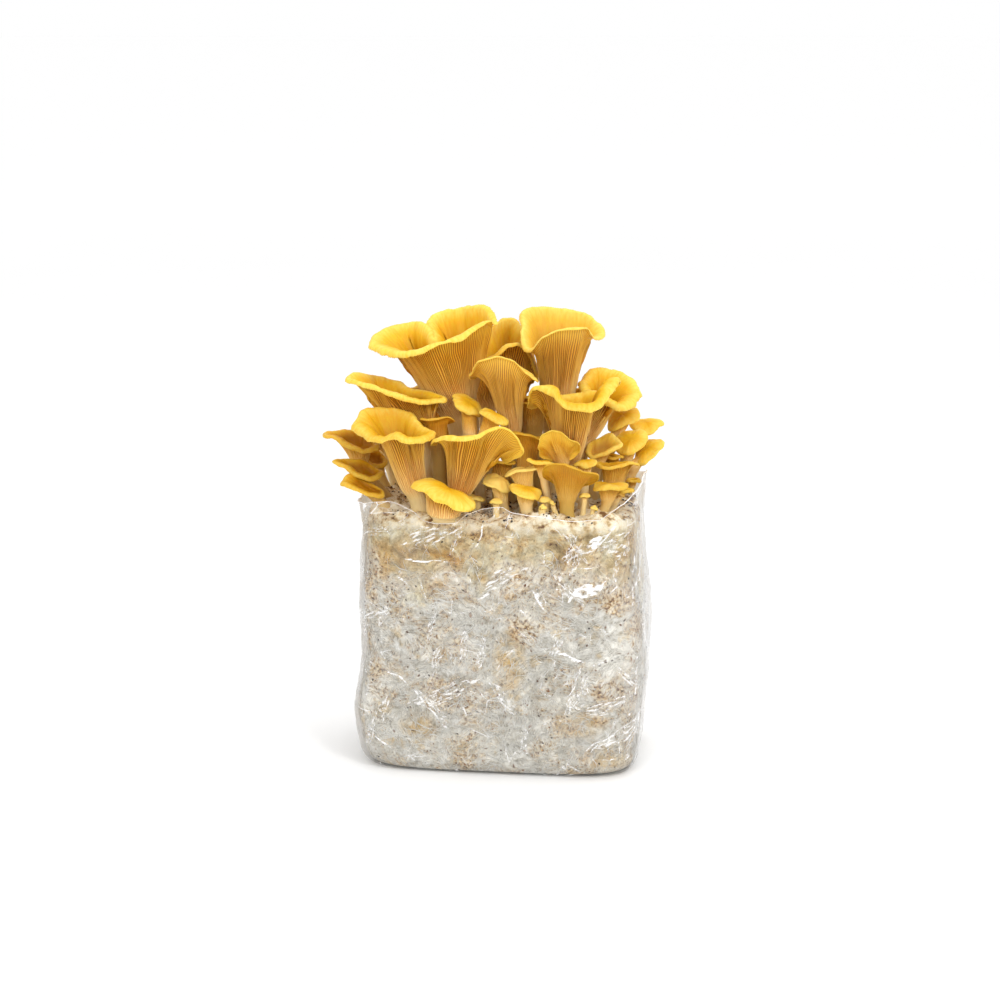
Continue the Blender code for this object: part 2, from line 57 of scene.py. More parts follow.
# A large cap. `lean` is how far the stem leans to the right and to the back at the neck, for each
# unit up, and `flare` how many degrees further the wall opens there. `crown` is how far the top
# bulges, or None where the cap is hollow like a funnel. The margin is a loop of
# (across, depth, height, roll), counter-clockwise seen from above. Roll is the slope in degrees
# at which the wall reaches the margin: 90 is straight up, 0 level and -90 rolled over, hanging.
Large = namedtuple("Large", "name foot foot_radius neck neck_radius lean flare crown rim")
LARGE = [Large(*row) for row in (
    ("top_left_funnel", (-34, 22), 12.0, (-32, 22, 241), 12.0, (-0.45, -0.05), 28, None, [
        (-8, 25, 302, 70), (-15, 38, 312, 75), (-35, 50, 308, 60), (-52, 48, 302, 60),
        (-49, 30, 290, 60), (-56, 38, 300, 45), (-70, 48, 300, 30), (-86, 40, 296, 25),
        (-94, 20, 290, 15), (-80, 2, 287, 10), (-64, -6, 288, 20), (-45, -6, 294, 40),
        (-26, 0, 301, 55), (-13, 10, 305, 65)]),
    ("top_middle_funnel", (5, 46), 7.0, (5, 46, 238), 8.0, (-0.1, 0.0), 16, None, [
        (24, 47, 260, -50), (23, 57, 270, -20), (16, 64, 288, 30), (6, 70, 298, 55),
        (-6, 68, 296, 55), (-15, 60, 287, 35), (-20, 48, 278, 0), (-16, 34, 276, -10),
        (-8, 28, 280, 20), (3, 29, 286, 45), (14, 34, 285, 20), (21, 41, 272, -30)]),
    ("top_right_funnel", (37, 34), 9.5, (37, 34, 240), 10.5, (0.05, 0.0), 14, None, [
        (67, 32, 293, 10), (70, 42, 296, 20), (61, 58, 302, 50), (47, 64, 306, 60),
        (31, 64, 308, 65), (16, 56, 308, 60), (12, 44, 302, 50), (13, 28, 291, 40),
        (18, 16, 286, 35), (27, 8, 296, 60), (40, 6, 301, 75), (55, 12, 301, 70),
        (61, 20, 294, 30)]),
    ("centre_tall", (5, 2), 6.0, (5, 2, 229), 5.8, (-0.05, 0.0), 24, None, [
        (22, -2, 268, 5), (15, 14, 272, 30), (2, 22, 275, 50), (-12, 18, 272, 40),
        (-22, 8, 269, 0), (-23, -4, 275, 10), (-16, -14, 283, 50), (-6, -18, 286, 65),
        (5, -17, 283, 60), (14, -12, 275, 35)]),
    ("right_rolled", (44, -7), 7.0, (44, -10, 212), 7.2, (0.05, -0.1), 30, None, [
        (77, -16, 272, 0), (70, 0, 261, 30), (59, 6, 257, 40), (45, 7, 254, 45),
        (30, 2, 254, 40), (19, -5, 251, 15), (16, -12, 257, 0), (19, -19, 265, 5),
        (24, -25, 268, -5), (30, -32, 265, -45), (35, -38, 260, -80), (42, -41, 256, -90),
        (53, -42, 255, -95), (60, -40, 255, -90), (66, -35, 258, -80), (72, -27, 266, -40)]),
    ("right_back_fan", (52, 19), 5.5, (56, 21, 221), 5.8, (0.4, 0.1), 30, None, [
        (94, 24, 255, -5), (89, 34, 262, 10), (82, 42, 266, 20), (70, 46, 268, 25),
        (61, 43, 266, 25), (54, 33, 260, 20), (55, 21, 256, 10), (62, 14, 254, 0),
        (71, 9, 250, -15), (79, 6, 247, -25), (88, 12, 249, -15)]),
    ("left_slanted", (-60, 5), 8.0, (-56, 3, 229), 8.0, (-0.8, -0.3), 34, None, [
        (-42, -2, 255, -10), (-52, 6, 257, 20), (-66, 18, 259, 40), (-78, 26, 262, 40),
        (-92, 28, 265, 40), (-102, 18, 269, 35), (-108, 6, 267, 35), (-100, -6, 267, 30),
        (-89, -12, 264, 15), (-74, -14, 260, 0), (-62, -14, 256, -10), (-51, -9, 253, -20)]),
    ("left_front_funnel", (-57, -33), 7.5, (-61, -38.5, 200), 9.0, (-0.45, -0.1), 15, None, [
        (-48, -40, 239, -10), (-55, -28, 239, 30), (-65, -14, 244, 45), (-75, -8, 248, 50),
        (-88, -10, 249, 45), (-98, -16, 248, 20), (-103, -26, 242, -15), (-98, -38, 239, -30),
        (-91, -48, 236, -35), (-84, -54, 235, -40), (-76, -60, 239, -45), (-66, -62, 238, -50),
        (-58, -58, 236, -50), (-50, -48, 237, -40)]),
    ("centre_front_broad", (-31, -28), 6.0, (-32, -32, 192), 5.4, (0.15, -0.2), 36, None, [
        (7, -40, 221, -40), (0, -30, 219, -30), (-6, -20, 226, 20), (-16, -16, 230, 45),
        (-30, -17, 230, 50), (-42, -25, 231, 40), (-49, -38, 232, 10), (-46, -52, 237, -10),
        (-39, -60, 241, -20), (-30, -64, 240, -20), (-21, -66, 241, -10), (-11, -65, 245, 15),
        (-2, -60, 246, 25), (7, -54, 240, 20), (11, -47, 229, -10)]),
    ("front_drooping", (-41, -43), 9.0, (-41.5, -47.5, 185), 11.6, (0.05, -0.2), 10, 4, [
        (-20, -53, 193, -20), (-25, -46, 195, 0), (-33, -43, 197, 0), (-41, -43, 202, 0),
        (-47, -45, 206, 10), (-53, -49, 208, 0), (-59, -54, 208, -10), (-59, -58, 206, -30),
        (-54, -61, 203, -40), (-48, -62.5, 199, -40), (-43, -63, 196, -40),
        (-36, -63, 193, -40), (-28, -62.5, 191, -50), (-21, -58, 191, -40)]),
)]

# A small cap: its margin is an ellipse round `cap`, `half` its size across and in depth. The
# first tilt lowers its front edge and the second its right edge. `crown` is how far the top
# bulges, or None where the cap is hollow like a funnel.
Small = namedtuple("Small", "name foot neck cap half tilt roll crown stem")
SMALL = [Small(*row) for row in (
    ("inner_left_tongue", (-26, 0), (-24, -6, 228), (-26, 0, 250), (11, 9), (25, 32), 10, 2, 3.5),
    ("inner_right_tongue", (-17, -7), (-16, -10, 226), (-8, -12, 245),
     (10, 5.5), (15, 26), 10, 2, 3.2),
    ("hidden_left", (-44, -15), (-46, -17, 221), (-48, -16, 242),
     (11, 7), (-25, 0), 30, None, 4.5),
    ("shaded_front", (17, -12), (14, -14, 204), (16, -13, 231),
     (12.5, 8.5), (-8, 5), 25, None, 4.5),
    ("shaded_back", (20, 17), (20, 17, 232), (20.5, 17.5, 247), (11, 9), (-20, 0), 30, None, 5.8),
    ("round_spoon", (40, -22), (40, -25, 211), (36, -29, 227), (13, 11), (-65, 0), 15, 0.6, 3.0),
    ("right_arched", (31, -32), (26.8, -33.4, 205), (24.8, -31.5, 217.2),
     (10, 5.2), (-8, 12), -5, None, 2.7),
    ("right_fan", (42, -42), (42, -43, 191), (43, -41.5, 209.5),
     (17, 12), (-45, 5), 10, None, 4.5),
    ("behind_fan", (54, -23), (55, -22, 206), (55, -21.5, 214), (7, 5), (8, -6), 0, 1.5, 3.0),
    ("right_trumpet", (75, 0), (75, -5, 190), (78, -3.5, 209.5), (15, 11), (-6, 0), 0, None, 5.0),
    ("right_hook", (66, -34), (70, -33, 189), (71, -32, 200), (11, 8.5), (2, -3), 0, 1, 3.6),
    ("hook_bud", (59, -42), (60, -42, 186), (61, -42, 188), (2.5, 2.5), (0, 20), 0, 1, 1.6),
    ("right_sliver", (74, -22), (77, -22, 189), (83, -22, 194), (5, 4), (0, -8), 10, None, 2.5),
    ("right_edge_button", (87, 22), (90, 20, 188), (91, 20, 193), (4, 4), (0, 0), 20, None, 2.0),
    ("right_twisted", (63, 13), (64, 9, 204), (68, 8.5, 219.5),
     (12.5, 9), (32, -20), 0, None, 3.5),
    ("right_middle_leaf", (70, 28), (86, 25, 206), (89, 23, 219.5),
     (10.5, 10), (42, -10), 0, 2, 3.5),
    ("right_upper_leaf", (75, 34), (96, 38, 222), (101, 41, 228), (10, 8.5), (25, -8), 0, 2, 3.2),
    ("right_tongue", (84, 29), (90, 28, 197), (101.8, 28, 212.5), (12, 9), (16, -36), 0, 2, 3.4),
    ("right_back_leaf", (64, 38), (79, 33, 222), (84, 33, 235.5),
     (10.5, 9), (30, -25), 0, 2, 3.5),
    ("front_dome", (0, -32), (-2, -32, 189), (-5, -30, 202), (9, 8), (15, 25), 0, 4, 3.5),
    ("front_flared", (15, -27), (14, -28, 194), (12, -27, 210),
     (10.5, 7.5), (-5, -14), 15, None, 4.0),
    ("front_thick", (16, -41), (14, -42, 189), (14, -41, 198), (10.5, 8), (10, 18), 0, 2, 4.0),
    ("front_pin_left", (-19, -26), (-19, -26, 187), (-20, -26, 190),
     (5.3, 4.5), (0, 12), 0, 1, 2.0),
    ("front_pin_middle", (-6, -42), (-6, -42, 188), (-6, -42, 192), (3.2, 3), (0, 0), 0, 1, 1.8),
    ("front_pin_right", (29, -40), (28, -40, 189), (27, -40, 192), (3.5, 3), (0, 0), 0, 1.5, 1.8),
    ("front_pin_far_right", (34, -44), (33, -44, 188), (32, -44, 191),
     (2.5, 2.5), (0, 15), 0, 1, 1.6),
    ("front_pin_low", (25, -50), (25, -50, 187), (25, -50, 190), (2.6, 2.6), (0, 0), 0, 1.5, 2.2),
    ("fan_side_pin", (53, -38), (54, -38, 191), (54, -38, 195), (3.5, 3.2), (0, 0), 0, 0.5, 1.6),
    ("left_top_leaf", (-84, 10), (-101, 8, 207), (-106, 6, 225),
     (19, 13), (12, 12), -10, None, 4.5),
    ("left_inner_leaf", (-82, 24), (-89, 24, 197), (-94, 24, 209),
     (11, 9), (20, 20), 0, None, 3.5),
    ("left_middle_leaf", (-84, -8), (-95, -12, 196), (-100, -15, 209),
     (16, 11), (12, 14), 0, None, 4.0),
    ("left_low_leaf", (-80, -24), (-89, -28, 192), (-98, -31, 200),
     (14.5, 9), (15, 20), 0, None, 3.8),
    ("gap_slender", (14, 30), (14, 29, 240), (14, 31, 250), (8, 7), (-10, 0), 30, None, 3.0),
    ("back_left_broad", (-68, 50), (-72, 50, 226), (-77, 52, 250),
     (20, 15), (-15, -8), 30, None, 5.0),
    ("back_centre_left", (-11, 50), (-13, 54, 236), (-18, 60, 259),
     (13, 11), (-20, 0), 40, None, 5.6),
    ("back_right_broad", (53, 41), (57, 53, 225), (60, 60, 247),
     (18, 13), (-20, 5), 30, None, 4.5),
    ("back_low_left", (-46, 46), (-47, 48, 212), (-47, 52, 240),
     (13, 12), (-18, 0), 35, None, 5.5),
    ("back_low_middle", (-30, 52), (-29, 62, 207), (-30, 68, 218),
     (13, 10.5), (-20, 5), 30, None, 4.0),
    ("back_low_right", (24, 46), (27, 56, 206), (29, 62, 216), (14, 10), (-18, 8), 30, None, 4.0),
    ("shaded_low_centre", (-3, -13), (-3, -13, 199), (-2, -12, 212),
     (9, 6), (-5, 0), 20, None, 5.2),
    ("shaded_right_back", (76, 17), (76, 16, 200), (76, 15, 211),
     (6.5, 5.5), (0, 0), 25, None, 3.8),
    ("back_left_edge", (-78, 42), (-86, 46, 206), (-92, 48, 215),
     (11, 9), (-10, -15), 10, None, 3.5),
)]

# How finely a mushroom is made, in millimetres: the gills' pitch and depth, the rolled lip's radius
# and how far round it turns, the thickness of the margin and of the flesh inside, how wavy the
# margin is, and the rows of points up the stem (one for each `stem_step`), wall, lip and top.
Look = namedtuple("Look", "pitch depth lip lip_turn margin flesh ripple stem_step wall_rows "
                          "lip_rows top_rows")
BIG = Look(1.8, 1.0, 2.6, 105.0, 0.8, 3.4, 1.0, 5, 34, 6, 18)
LITTLE = Look(1.5, 0.4, 1.0, 110.0, 0.6, 1.6, 1.15, 8, 19, 4, 11)
FAR = Look(2.2, 0.6, 1.2, 90.0, 0.65, 1.6, 0.8, 10, 15, 3, 8)
# The lip's radius of the large caps whose edge is thinner than the others'.
THIN_LIPS = {"top_left_funnel": 2.3, "top_middle_funnel": 1.4, "top_right_funnel": 1.5,
             "centre_tall": 1.3, "left_slanted": 1.7, "left_front_funnel": 2.0,
             "centre_front_broad": 1.9}

# How much darker and duller (above 0) or paler (below 0) than the rest a mushroom is, by its own
# name, and for small ones without their own by the first word of the name. The darkness is mostly
# painted shade on mushrooms deep in the cluster; the paleness is partly their own colour and partly
# painted light.
TONES_AND_SHADE = {"top_middle_funnel": 0.2, "top_right_funnel": -0.1, "centre_tall": -0.1,
         "right_rolled": 0.1, "left_front_funnel": 0.25, "right_fan": 0.9, "right_twisted": -0.15,
         "right_trumpet": 0.4, "right_hook": 0.5, "front_thick": 0.1}
GROUP_TONES_AND_SHADE = {"left": 0.6, "hidden": 0.8, "shaded": 0.8, "gap": 0.6, "front": -0.35, "fan": -0.25,
               "hook": -0.3, "inner": 0.0, "back": 0.2}
SMALL_TONE_AND_SHADE = 0.1

# Factors and shifts that scramble whole numbers into what looks like chance.
SCRAMBLERS = (374761393, 668265263, 1440662683, 1274126177)
RESCRAMBLERS = ((13, 1274126177), (15, 2246822519))
LOW_BITS = 0xFFFFFFFF

# ---------------------------------------------------------------- shared helpers


def unit(v):
    return v / np.maximum(np.linalg.norm(v, axis=-1, keepdims=True), 1e-9)


def ease(x, low, high):
    """0 below low, 1 above high and smooth between them."""
    f = np.clip((np.asarray(x, float) - low) / (high - low), 0.0, 1.0)
    return f * f * (3 - 2 * f)


def hump(x, middle, width):
    """1 in the middle, falling smoothly to 0 on both sides."""
    return np.exp(-((x - middle) / width) ** 2)


def circle(count):
    """Evenly spaced angles once round."""
    return 2 * np.pi * np.arange(count) / count


def spun(a, b, angle):
    """Two coordinates after a turn from the first towards the second."""
    return a * math.cos(angle) - b * math.sin(angle), a * math.sin(angle) + b * math.cos(angle)


def right_of(way):
    """Unit steps to the right of each step (x, y)."""
    return unit(np.stack((way[..., 1], -way[..., 0]), axis=-1))


def bezier(p0, p1, p2, p3, t):
    return (1 - t) ** 3 * p0 + 3 * (1 - t) ** 2 * t * p1 + 3 * (1 - t) * t ** 2 * p2 + t ** 3 * p3


def lattice(x, y, z, seed):
    """A repeatable number from -1 to 1 for each whole-numbered place."""
    h = sum(number * factor for number, factor in zip((x, y, z, seed), SCRAMBLERS)) & LOW_BITS
    for shift, factor in RESCRAMBLERS:
        h = ((h ^ (h >> shift)) * factor) & LOW_BITS
    return (h ^ (h >> 16)) / (LOW_BITS / 2) - 1.0


def noise(points, size, seed):
    """Smooth noise from about -1 to 1, with lumps about `size` apart."""
    q = np.asarray(points, float) / size
    whole = np.floor(q).astype(np.int64)
    f = q - whole
    f = f * f * (3 - 2 * f)
    total = 0.0
    for corner in np.ndindex(2, 2, 2):
        near = [np.abs(1 - step - f[..., k]) for k, step in enumerate(corner)]
        place = [whole[..., k] + step for k, step in enumerate(corner)]
        total = total + near[0] * near[1] * near[2] * lattice(*place, seed)
    return total


def lumps(points, layers, seed=0):
    """Layers of noise added up: each has a height, a size and a number of its own."""
    return sum(height * noise(points, size, seed + own) for height, size, own in layers)


def raised(places, height=0.0):
    """Places (x, y, ...) with their third coordinate set to the given height."""
    height = np.broadcast_to(np.asarray(height, float), places.shape[:-1])
    return np.concatenate((places[..., :2], height[..., None]), axis=-1)


def smooth_loop(points, per_span):
    """Points along a smooth closed curve through `points`, `per_span` to each stretch."""
    p = np.array(points, float)
    rows = []
    for i in range(len(p)):
        before, start, end, after = (p[(i + k - 1) % len(p)] for k in range(4))
        for f in np.arange(per_span) / per_span:
            rows.append(0.5 * (2 * start + (end - before) * f
                               + (2 * before - 5 * start + 4 * end - after) * f ** 2
                               + (3 * start - before - 3 * end + after) * f ** 3))
    return np.array(rows)


def loop_lengths(loop):
    """Distance along a closed loop at each of its points, and back at the first."""
    steps = np.linalg.norm(np.diff(np.vstack((loop, loop[:1])), axis=0), axis=1)
    return np.insert(np.cumsum(steps), 0, 0.0)


def evenly(loop, count):
    """`count` evenly spaced points of a closed loop, by the length of its first three columns."""
    along = loop_lengths(loop[:, :3])
    places = along[-1] * np.arange(count) / count
    closed = np.vstack((loop, loop[:1]))
    return np.column_stack([np.interp(places, along, column) for column in closed.T])


def along_ring(ring, axis=0):
    """The step from each point's last neighbour to its next one, round a closed ring."""
    return np.roll(ring, -1, axis=axis) - np.roll(ring, 1, axis=axis)


def smoothed(values, width):
    """Values round a closed ring, each averaged with its neighbours."""
    window = np.hanning(width)
    ring = np.concatenate((values[-width:], values, values[:width]))
    return np.convolve(ring, window / window.sum(), "same")[width:-width]


def turned(points):
    """The cluster's own frame put into the bag's frame, in metres."""
    x, y, z = np.atleast_2d(points).T
    return np.column_stack((*spun(x, y, CLUSTER_TURN), z)) * MM


def grid_faces(rows, columns):
    """Quads of a grid of points that closes on itself sideways, rows running upwards."""
    r = np.arange(rows - 1)[:, None] * columns
    j = np.arange(columns)[None, :]
    k = (j + 1) % columns
    quads = np.stack((r + j, r + k, r + columns + k, r + columns + j), axis=-1)
    return quads.reshape(-1, 4)


def fan_faces(ring_first, columns, point, upwards):
    """Triangles that close a ring to one point."""
    j = np.arange(columns)
    k = (j + 1) % columns
    a, b = (j, k) if upwards else (k, j)
    return np.column_stack((ring_first + a, ring_first + b, np.full(columns, point)))


def closed_ends(rows, columns):
    """Triangles from a grid's first and last rows to the two points that follow the grid."""
    return np.vstack((fan_faces(0, columns, rows * columns, False),
                      fan_faces((rows - 1) * columns, columns, rows * columns + 1, True)))


def add_attribute(mesh, name, values, domain="POINT"):
    values = np.asarray(values, np.float32)
    kind, field = ("FLOAT_VECTOR", "vector") if values.ndim == 2 else ("FLOAT", "value")
    mesh.attributes.new(name, kind, domain).data.foreach_set(field, values.ravel())


def build_mesh(name, points, quads, triangles, attributes=(), around=None):
    """A mesh object from arrays, points in metres, with float attributes on its points.

    `around` is the distance round at each column of a grid of points and back at the first. It
    lays the wall out flat for its pattern, as the attribute "wrap". That is kept for each face's
    corners, so that the last column of faces runs on past the start.
    """
    mesh = bpy.data.meshes.new(name)
    corners = np.concatenate((quads.ravel(), triangles.ravel())).astype(np.int32)
    sizes = np.concatenate((np.full(len(quads), 4), np.full(len(triangles), 3)))
    starts = np.cumsum(sizes) - sizes
    mesh.vertices.add(len(points))
    mesh.vertices.foreach_set("co", np.asarray(points, np.float32).ravel())
    mesh.loops.add(len(corners))
    mesh.loops.foreach_set("vertex_index", corners)
    mesh.polygons.add(len(sizes))
    mesh.polygons.foreach_set("loop_start", starts.astype(np.int32))
    mesh.update(calc_edges=True)
    for key, values in dict(attributes).items():
        add_attribute(mesh, key, values)
    if around is not None:
        rows, poles = divmod(len(points), len(around) - 1)
        here = np.append(np.tile(around[:-1], rows), np.zeros(poles))[corners]
        furthest = np.repeat(np.maximum.reduceat(here, starts), sizes)
        here = here + around[-1] * (furthest - here > 0.5 * around[-1])
        flat = np.column_stack((here * MM, points[corners, 2]))
        add_attribute(mesh, "wrap", raised(flat), "CORNER")
    mesh.validate()
    mesh.shade_smooth()
    body = bpy.data.objects.new(name, mesh)
    bpy.context.scene.collection.objects.link(body)
    return body


def sharpen(mesh, chosen):
    """Marks as sharp the edges whose two points both have the same number, not -1, in chosen."""
    ends = np.empty(2 * len(mesh.edges), np.int32)
    mesh.edges.foreach_get("vertices", ends)
    a, b = chosen[ends[0::2]], chosen[ends[1::2]]
    mark = mesh.attributes.get("sharp_edge") or mesh.attributes.new("sharp_edge", "BOOLEAN", "EDGE")
    mark.data.foreach_set("value", (a == b) & (a >= 0))


# ---------------------------------------------------------------- mushrooms

# Points for each stretch of a large cap's margin, and round a small cap's.
RIM_SPAN = 24
OVAL_POINTS = 160
FULL_TURN = 6.283
# How a stem runs: how high the block's top stands, how deep the foot is rooted in it, how much
# wider the foot is and how much narrower the waist.
STANDING = 180.3
ROOTED = 1.5
FOOT_SPREAD = 0.30
WAIST = 0.10
# How strongly the cap's wall keeps the way it leaves the neck and the way it reaches the margin.
NECK_PULL = 0.28
MARGIN_PULL = 0.30
# How far the wall's turns round the neck follow the margin's own.
TURN_FOLLOWS = 0.6
SMALL_FLARE = 24.0
# A small cap's neck and foot, as parts of its stem's radius. Its oval's fullness, how uneven its
# reach is in two lobes and in three, and how wavy it is.
SMALL_NECK = 1.2
SMALL_FOOT = 1.15
OVAL_POWER = 0.85
TWO_LOBES, THREE_LOBES, OVAL_WAVE = 0.06, 0.08, 0.06
# Lumps, each (height, size, number of its own): of the margin up and down and in and out, of the
# roll in degrees, of the wall, of the lip's radius and of how far round the lip turns.
MARGIN_WAVES = ((1.0, 12.0, 0), (0.35, 4.0, 1))
MARGIN_LOBES = ((1.2, 9.0, 2), (0.5, 3.6, 9))
ROLL_WAVES = ((9.0, 9.0, 3),)
WALL_SWELL = ((0.35, 11.0, 4),)
LIP_SCALLOPS = ((0.20, 2.6, 6), (0.35, 8.0, 7))
LIP_TURNS = ((0.25, 12.0, 12),)
TOP_PLEATS = ((0.20, 1.7, 8),)
TOP_DIMPLES = ((1.0, 9.0, 11),)
# Gills: where long, middling and short ones start (the lowest place and the spread), over what
# length one grows to its full height, and how far it wanders sideways on a wall taken to be so
# long. How much of their depth they have on the stem, and how much they lose again at the margin.
GILL_STARTS = ((-0.95, 0.40), (-0.35, 0.35), (0.12, 0.30))
GILL_GROWTH = 0.14
GILL_WANDER = ((2.0, 5.0, 5),)
WALL_LENGTH = 26.0
STEM_DEPTH = 0.25
MARGIN_LOSS = 0.78
GILL_SCALLOP = 0.06
# Where, with the foot at -1, the neck at 0 and the margin at 1, gills deepen on the stem and on the
# cap, grow shallow again and run straight, and where painted shade darkens the gaps between them.
STEM_GILLS = (-0.9, -0.1)
CAP_GILLS = (-0.1, 0.35)
SHALLOW_GILLS = (0.55, 1.0)
STRAIGHT_GILLS = (0.6, 0.95)
SHADED_GAPS = (-0.5, 0.2)
# How light a gill is drawn before it has grown, from 0, the painted shade of the gaps, to 1, a
# crest.
UNGROWN_GILL = 0.45
# The lip is set in from the margin's line by this part of its radius. It keeps the least part of
# its turn where the wall hangs by the first roll in degrees, and from the second on all of it.
LIP_INSET = 0.75
LIP_LEAST = 0.3
LIP_ROLLS = (-85, 20)
# Turns, in radians, round the thin edge and down into a hollow's rounded floor.
EDGE_BENDS = (0.6, 1.57, 2.54)
FLOOR_BENDS = (0.3, 0.7, 1.1, 1.4)
FLOOR_SINK = 0.30
# A hollow's pleats come in over the first stretch of the wall's height, it narrows towards its
# middle down the second one, and it keeps at least this part of the wall round it.
PLEATED = (0.35, 0.95)
NARROWING = (0.60, 0.35)
LEAST_HOLLOW = 0.2
# Powers by which a hollow's rows are spaced and its flesh thickens downwards.
ROW_POWER, FLESH_POWER = 0.9, 1.2
# How far past the margin, as 1, the lip starts and reaches and the thin edge lies.
LIP_FROM, LIP_TO, EDGE_AT = 1.02, 1.1, 1.12
# How much calmer the wall's lumps are at the foot and the margin, and where that starts.
END_CALM = 0.7
CALM_ENDS = (0.8, 1)
# The flesh's fibres run round the ring and, in millimetres, along the wall and over the lip.
FIBRE_REACH, FIBRE_UPPER = 20, 40
BIG_DEEPEST, SMALL_DEEPEST = 0.2, 0.6

# A mushroom to be made. Besides what its row of the tables says it has its look, the number its
# random draws start from, how much darker or paler it is drawn (mostly painted shade), and how low
# on the wall a hollow cap's floor lies.
Mushroom = namedtuple("Mushroom", "name foot foot_radius neck neck_radius lean flare rim crown "
                                  "look seed tone deepest")


def cross_axes(direction):
    """Two axes across a stem, the first towards the right and the second towards the back."""
    first = unit(np.cross((0.0, 1.0, 0.0), direction))
    return first, np.cross(direction, first)


def neck_turns(margin, neck, axes):
    """The angle round the neck at which the cap's wall towards each margin point starts."""
    away = margin - neck
    even = circle(len(margin))
    drift = np.unwrap(np.arctan2(away @ axes[1], away @ axes[0])) - even
    drift = smoothed(drift, max(5, len(margin) // 6))
    return even + TURN_FOLLOWS * drift + (1 - TURN_FOLLOWS) * drift.mean()


def fuller(wave, power):
    """A sine or cosine, swollen or squared off by the power."""
    return np.sign(wave) * np.abs(wave) ** power


def ellipse_rim(small, count):
    """The margin of a small cap: a slightly uneven, full oval, tilted about its centre."""
    fore, side = (math.radians(a) for a in small.tilt)
    phase = small.cap[0] + 0.37 * small.cap[2]
    turn = circle(count)
    reach = 1 + TWO_LOBES * np.sin(2 * turn + phase) + THREE_LOBES * np.sin(3 * turn + 2 * phase)
    x = small.half[0] * reach * fuller(np.cos(turn), OVAL_POWER)
    y = small.half[1] * reach * fuller(np.sin(turn), OVAL_POWER)
    z = OVAL_WAVE * small.half[0] * np.sin(3 * turn + phase)
    y, z = spun(y, z, fore)
    x, z = spun(x, z, -side)
    return np.column_stack((small.cap[0] + x, small.cap[1] + y, small.cap[2] + z,
                            np.full(count, float(small.roll))))


def surface_normals(grid):
    """Unit normals of a cap's wall, pointing to its outer, gilled side. grid is [row, column]."""
    return unit(np.cross(along_ring(grid, 1), np.gradient(grid, axis=0)))


def shape_margin(m, ring):
    """The margin, the way up through its loop, its roll and the way the wall reaches it."""
    rim = evenly(m.rim, len(ring))
    margin = rim[:, :3].copy()
    axis = unit(np.cross(margin, np.roll(margin, -1, axis=0)).sum(axis=0))
    outward = unit(np.cross(along_ring(margin), axis))
    margin += axis * (m.look.ripple * lumps(ring, MARGIN_WAVES, m.seed))[:, None]
    lobes = m.look.ripple * lumps(ring, MARGIN_LOBES, m.seed)
    margin += outward * (lobes - LIP_INSET * m.look.lip)[:, None]
    roll = np.radians(rim[:, 3:4] + lumps(ring, ROLL_WAVES, m.seed)[:, None])
    return margin, axis, roll, np.cos(roll) * outward + np.sin(roll) * axis


def shape_stem(m, turns):
    """Rings of points from the foot in the block up to just below the neck."""
    foot = np.array([*m.foot, STANDING - ROOTED])
    third = (m.neck[2] - foot[2]) / 3
    rings = []
    for t in np.linspace(0, 1, 4 + int(3 * third / m.look.stem_step), endpoint=False):
        centre = bezier(foot, foot + third * UP, m.neck - third * m.lean, m.neck, t)
        first, second = cross_axes(unit((1 - t) * UP + t * m.lean))
        radius = (1 - t) * m.foot_radius + t * m.neck_radius
        radius *= 1 + FOOT_SPREAD * (1 - t) ** 4 - WAIST * math.sin(math.pi * t)
        rings.append(centre + radius * (np.cos(turns) * first + np.sin(turns) * second))
    return foot, np.array(rings)


def shape_wall(m, turns, axes, margin, arrival, heights):
    """Rings of points from the neck out to the margin, at the given parts of the way."""
    outwards = np.cos(turns) * axes[0] + np.sin(turns) * axes[1]
    start = m.neck + m.neck_radius * outwards
    flare = math.radians(m.flare)
    leaving = math.cos(flare) * m.lean + math.sin(flare) * outwards
    reach = np.linalg.norm(margin - start, axis=1, keepdims=True)
    return bezier(start, start + NECK_PULL * reach * leaving,
                  margin - MARGIN_PULL * reach * arrival, margin, heights[:, None, None])


def cut_gills(m, outer, normals, rows_along, ring):
    """The wall grooved between its gills, and how near each point is to a crest, out of the gaps'
    painted shade.
    """
    rng = np.random.default_rng(m.seed)
    gills = len(ring) // 2
    number = np.arange(gills)
    order = np.where(number % 4 == 0, 0, np.where(number % 2 == 0, 1, 2))
    begins = np.choose(order, [low + spread * rng.random(gills) for low, spread in GILL_STARTS])
    s = rows_along[:, None]
    grown = ease(s, begins, begins + GILL_GROWTH)
    crest = np.zeros((len(rows_along), len(ring)))
    crest[:, 0::2] = grown
    depth = m.look.depth * (STEM_DEPTH * ease(s, *STEM_GILLS)
                            + (1 - STEM_DEPTH) * ease(s, *CAP_GILLS))
    depth = depth * (1 - MARGIN_LOSS * ease(s, *SHALLOW_GILLS))
    places = np.broadcast_arrays(ring[None, :, 0], ring[None, :, 1], WALL_LENGTH * s)
    wander = lumps(np.stack(places, axis=-1), GILL_WANDER, m.seed)
    spacing = np.linalg.norm(np.roll(outer, -1, axis=1) - outer, axis=-1)
    bent = 1 - ease(s, *STRAIGHT_GILLS)
    sideways = unit(along_ring(outer, 1)) * (wander * spacing * bent)[..., None]
    gilled = outer - normals * (depth * (1 - crest))[..., None] + sideways
    crest[:, 0::2] = UNGROWN_GILL + (1 - UNGROWN_GILL) * grown
    return gilled, 1 - (1 - crest) * ease(s, *SHADED_GAPS) * min(1.0, m.look.depth)


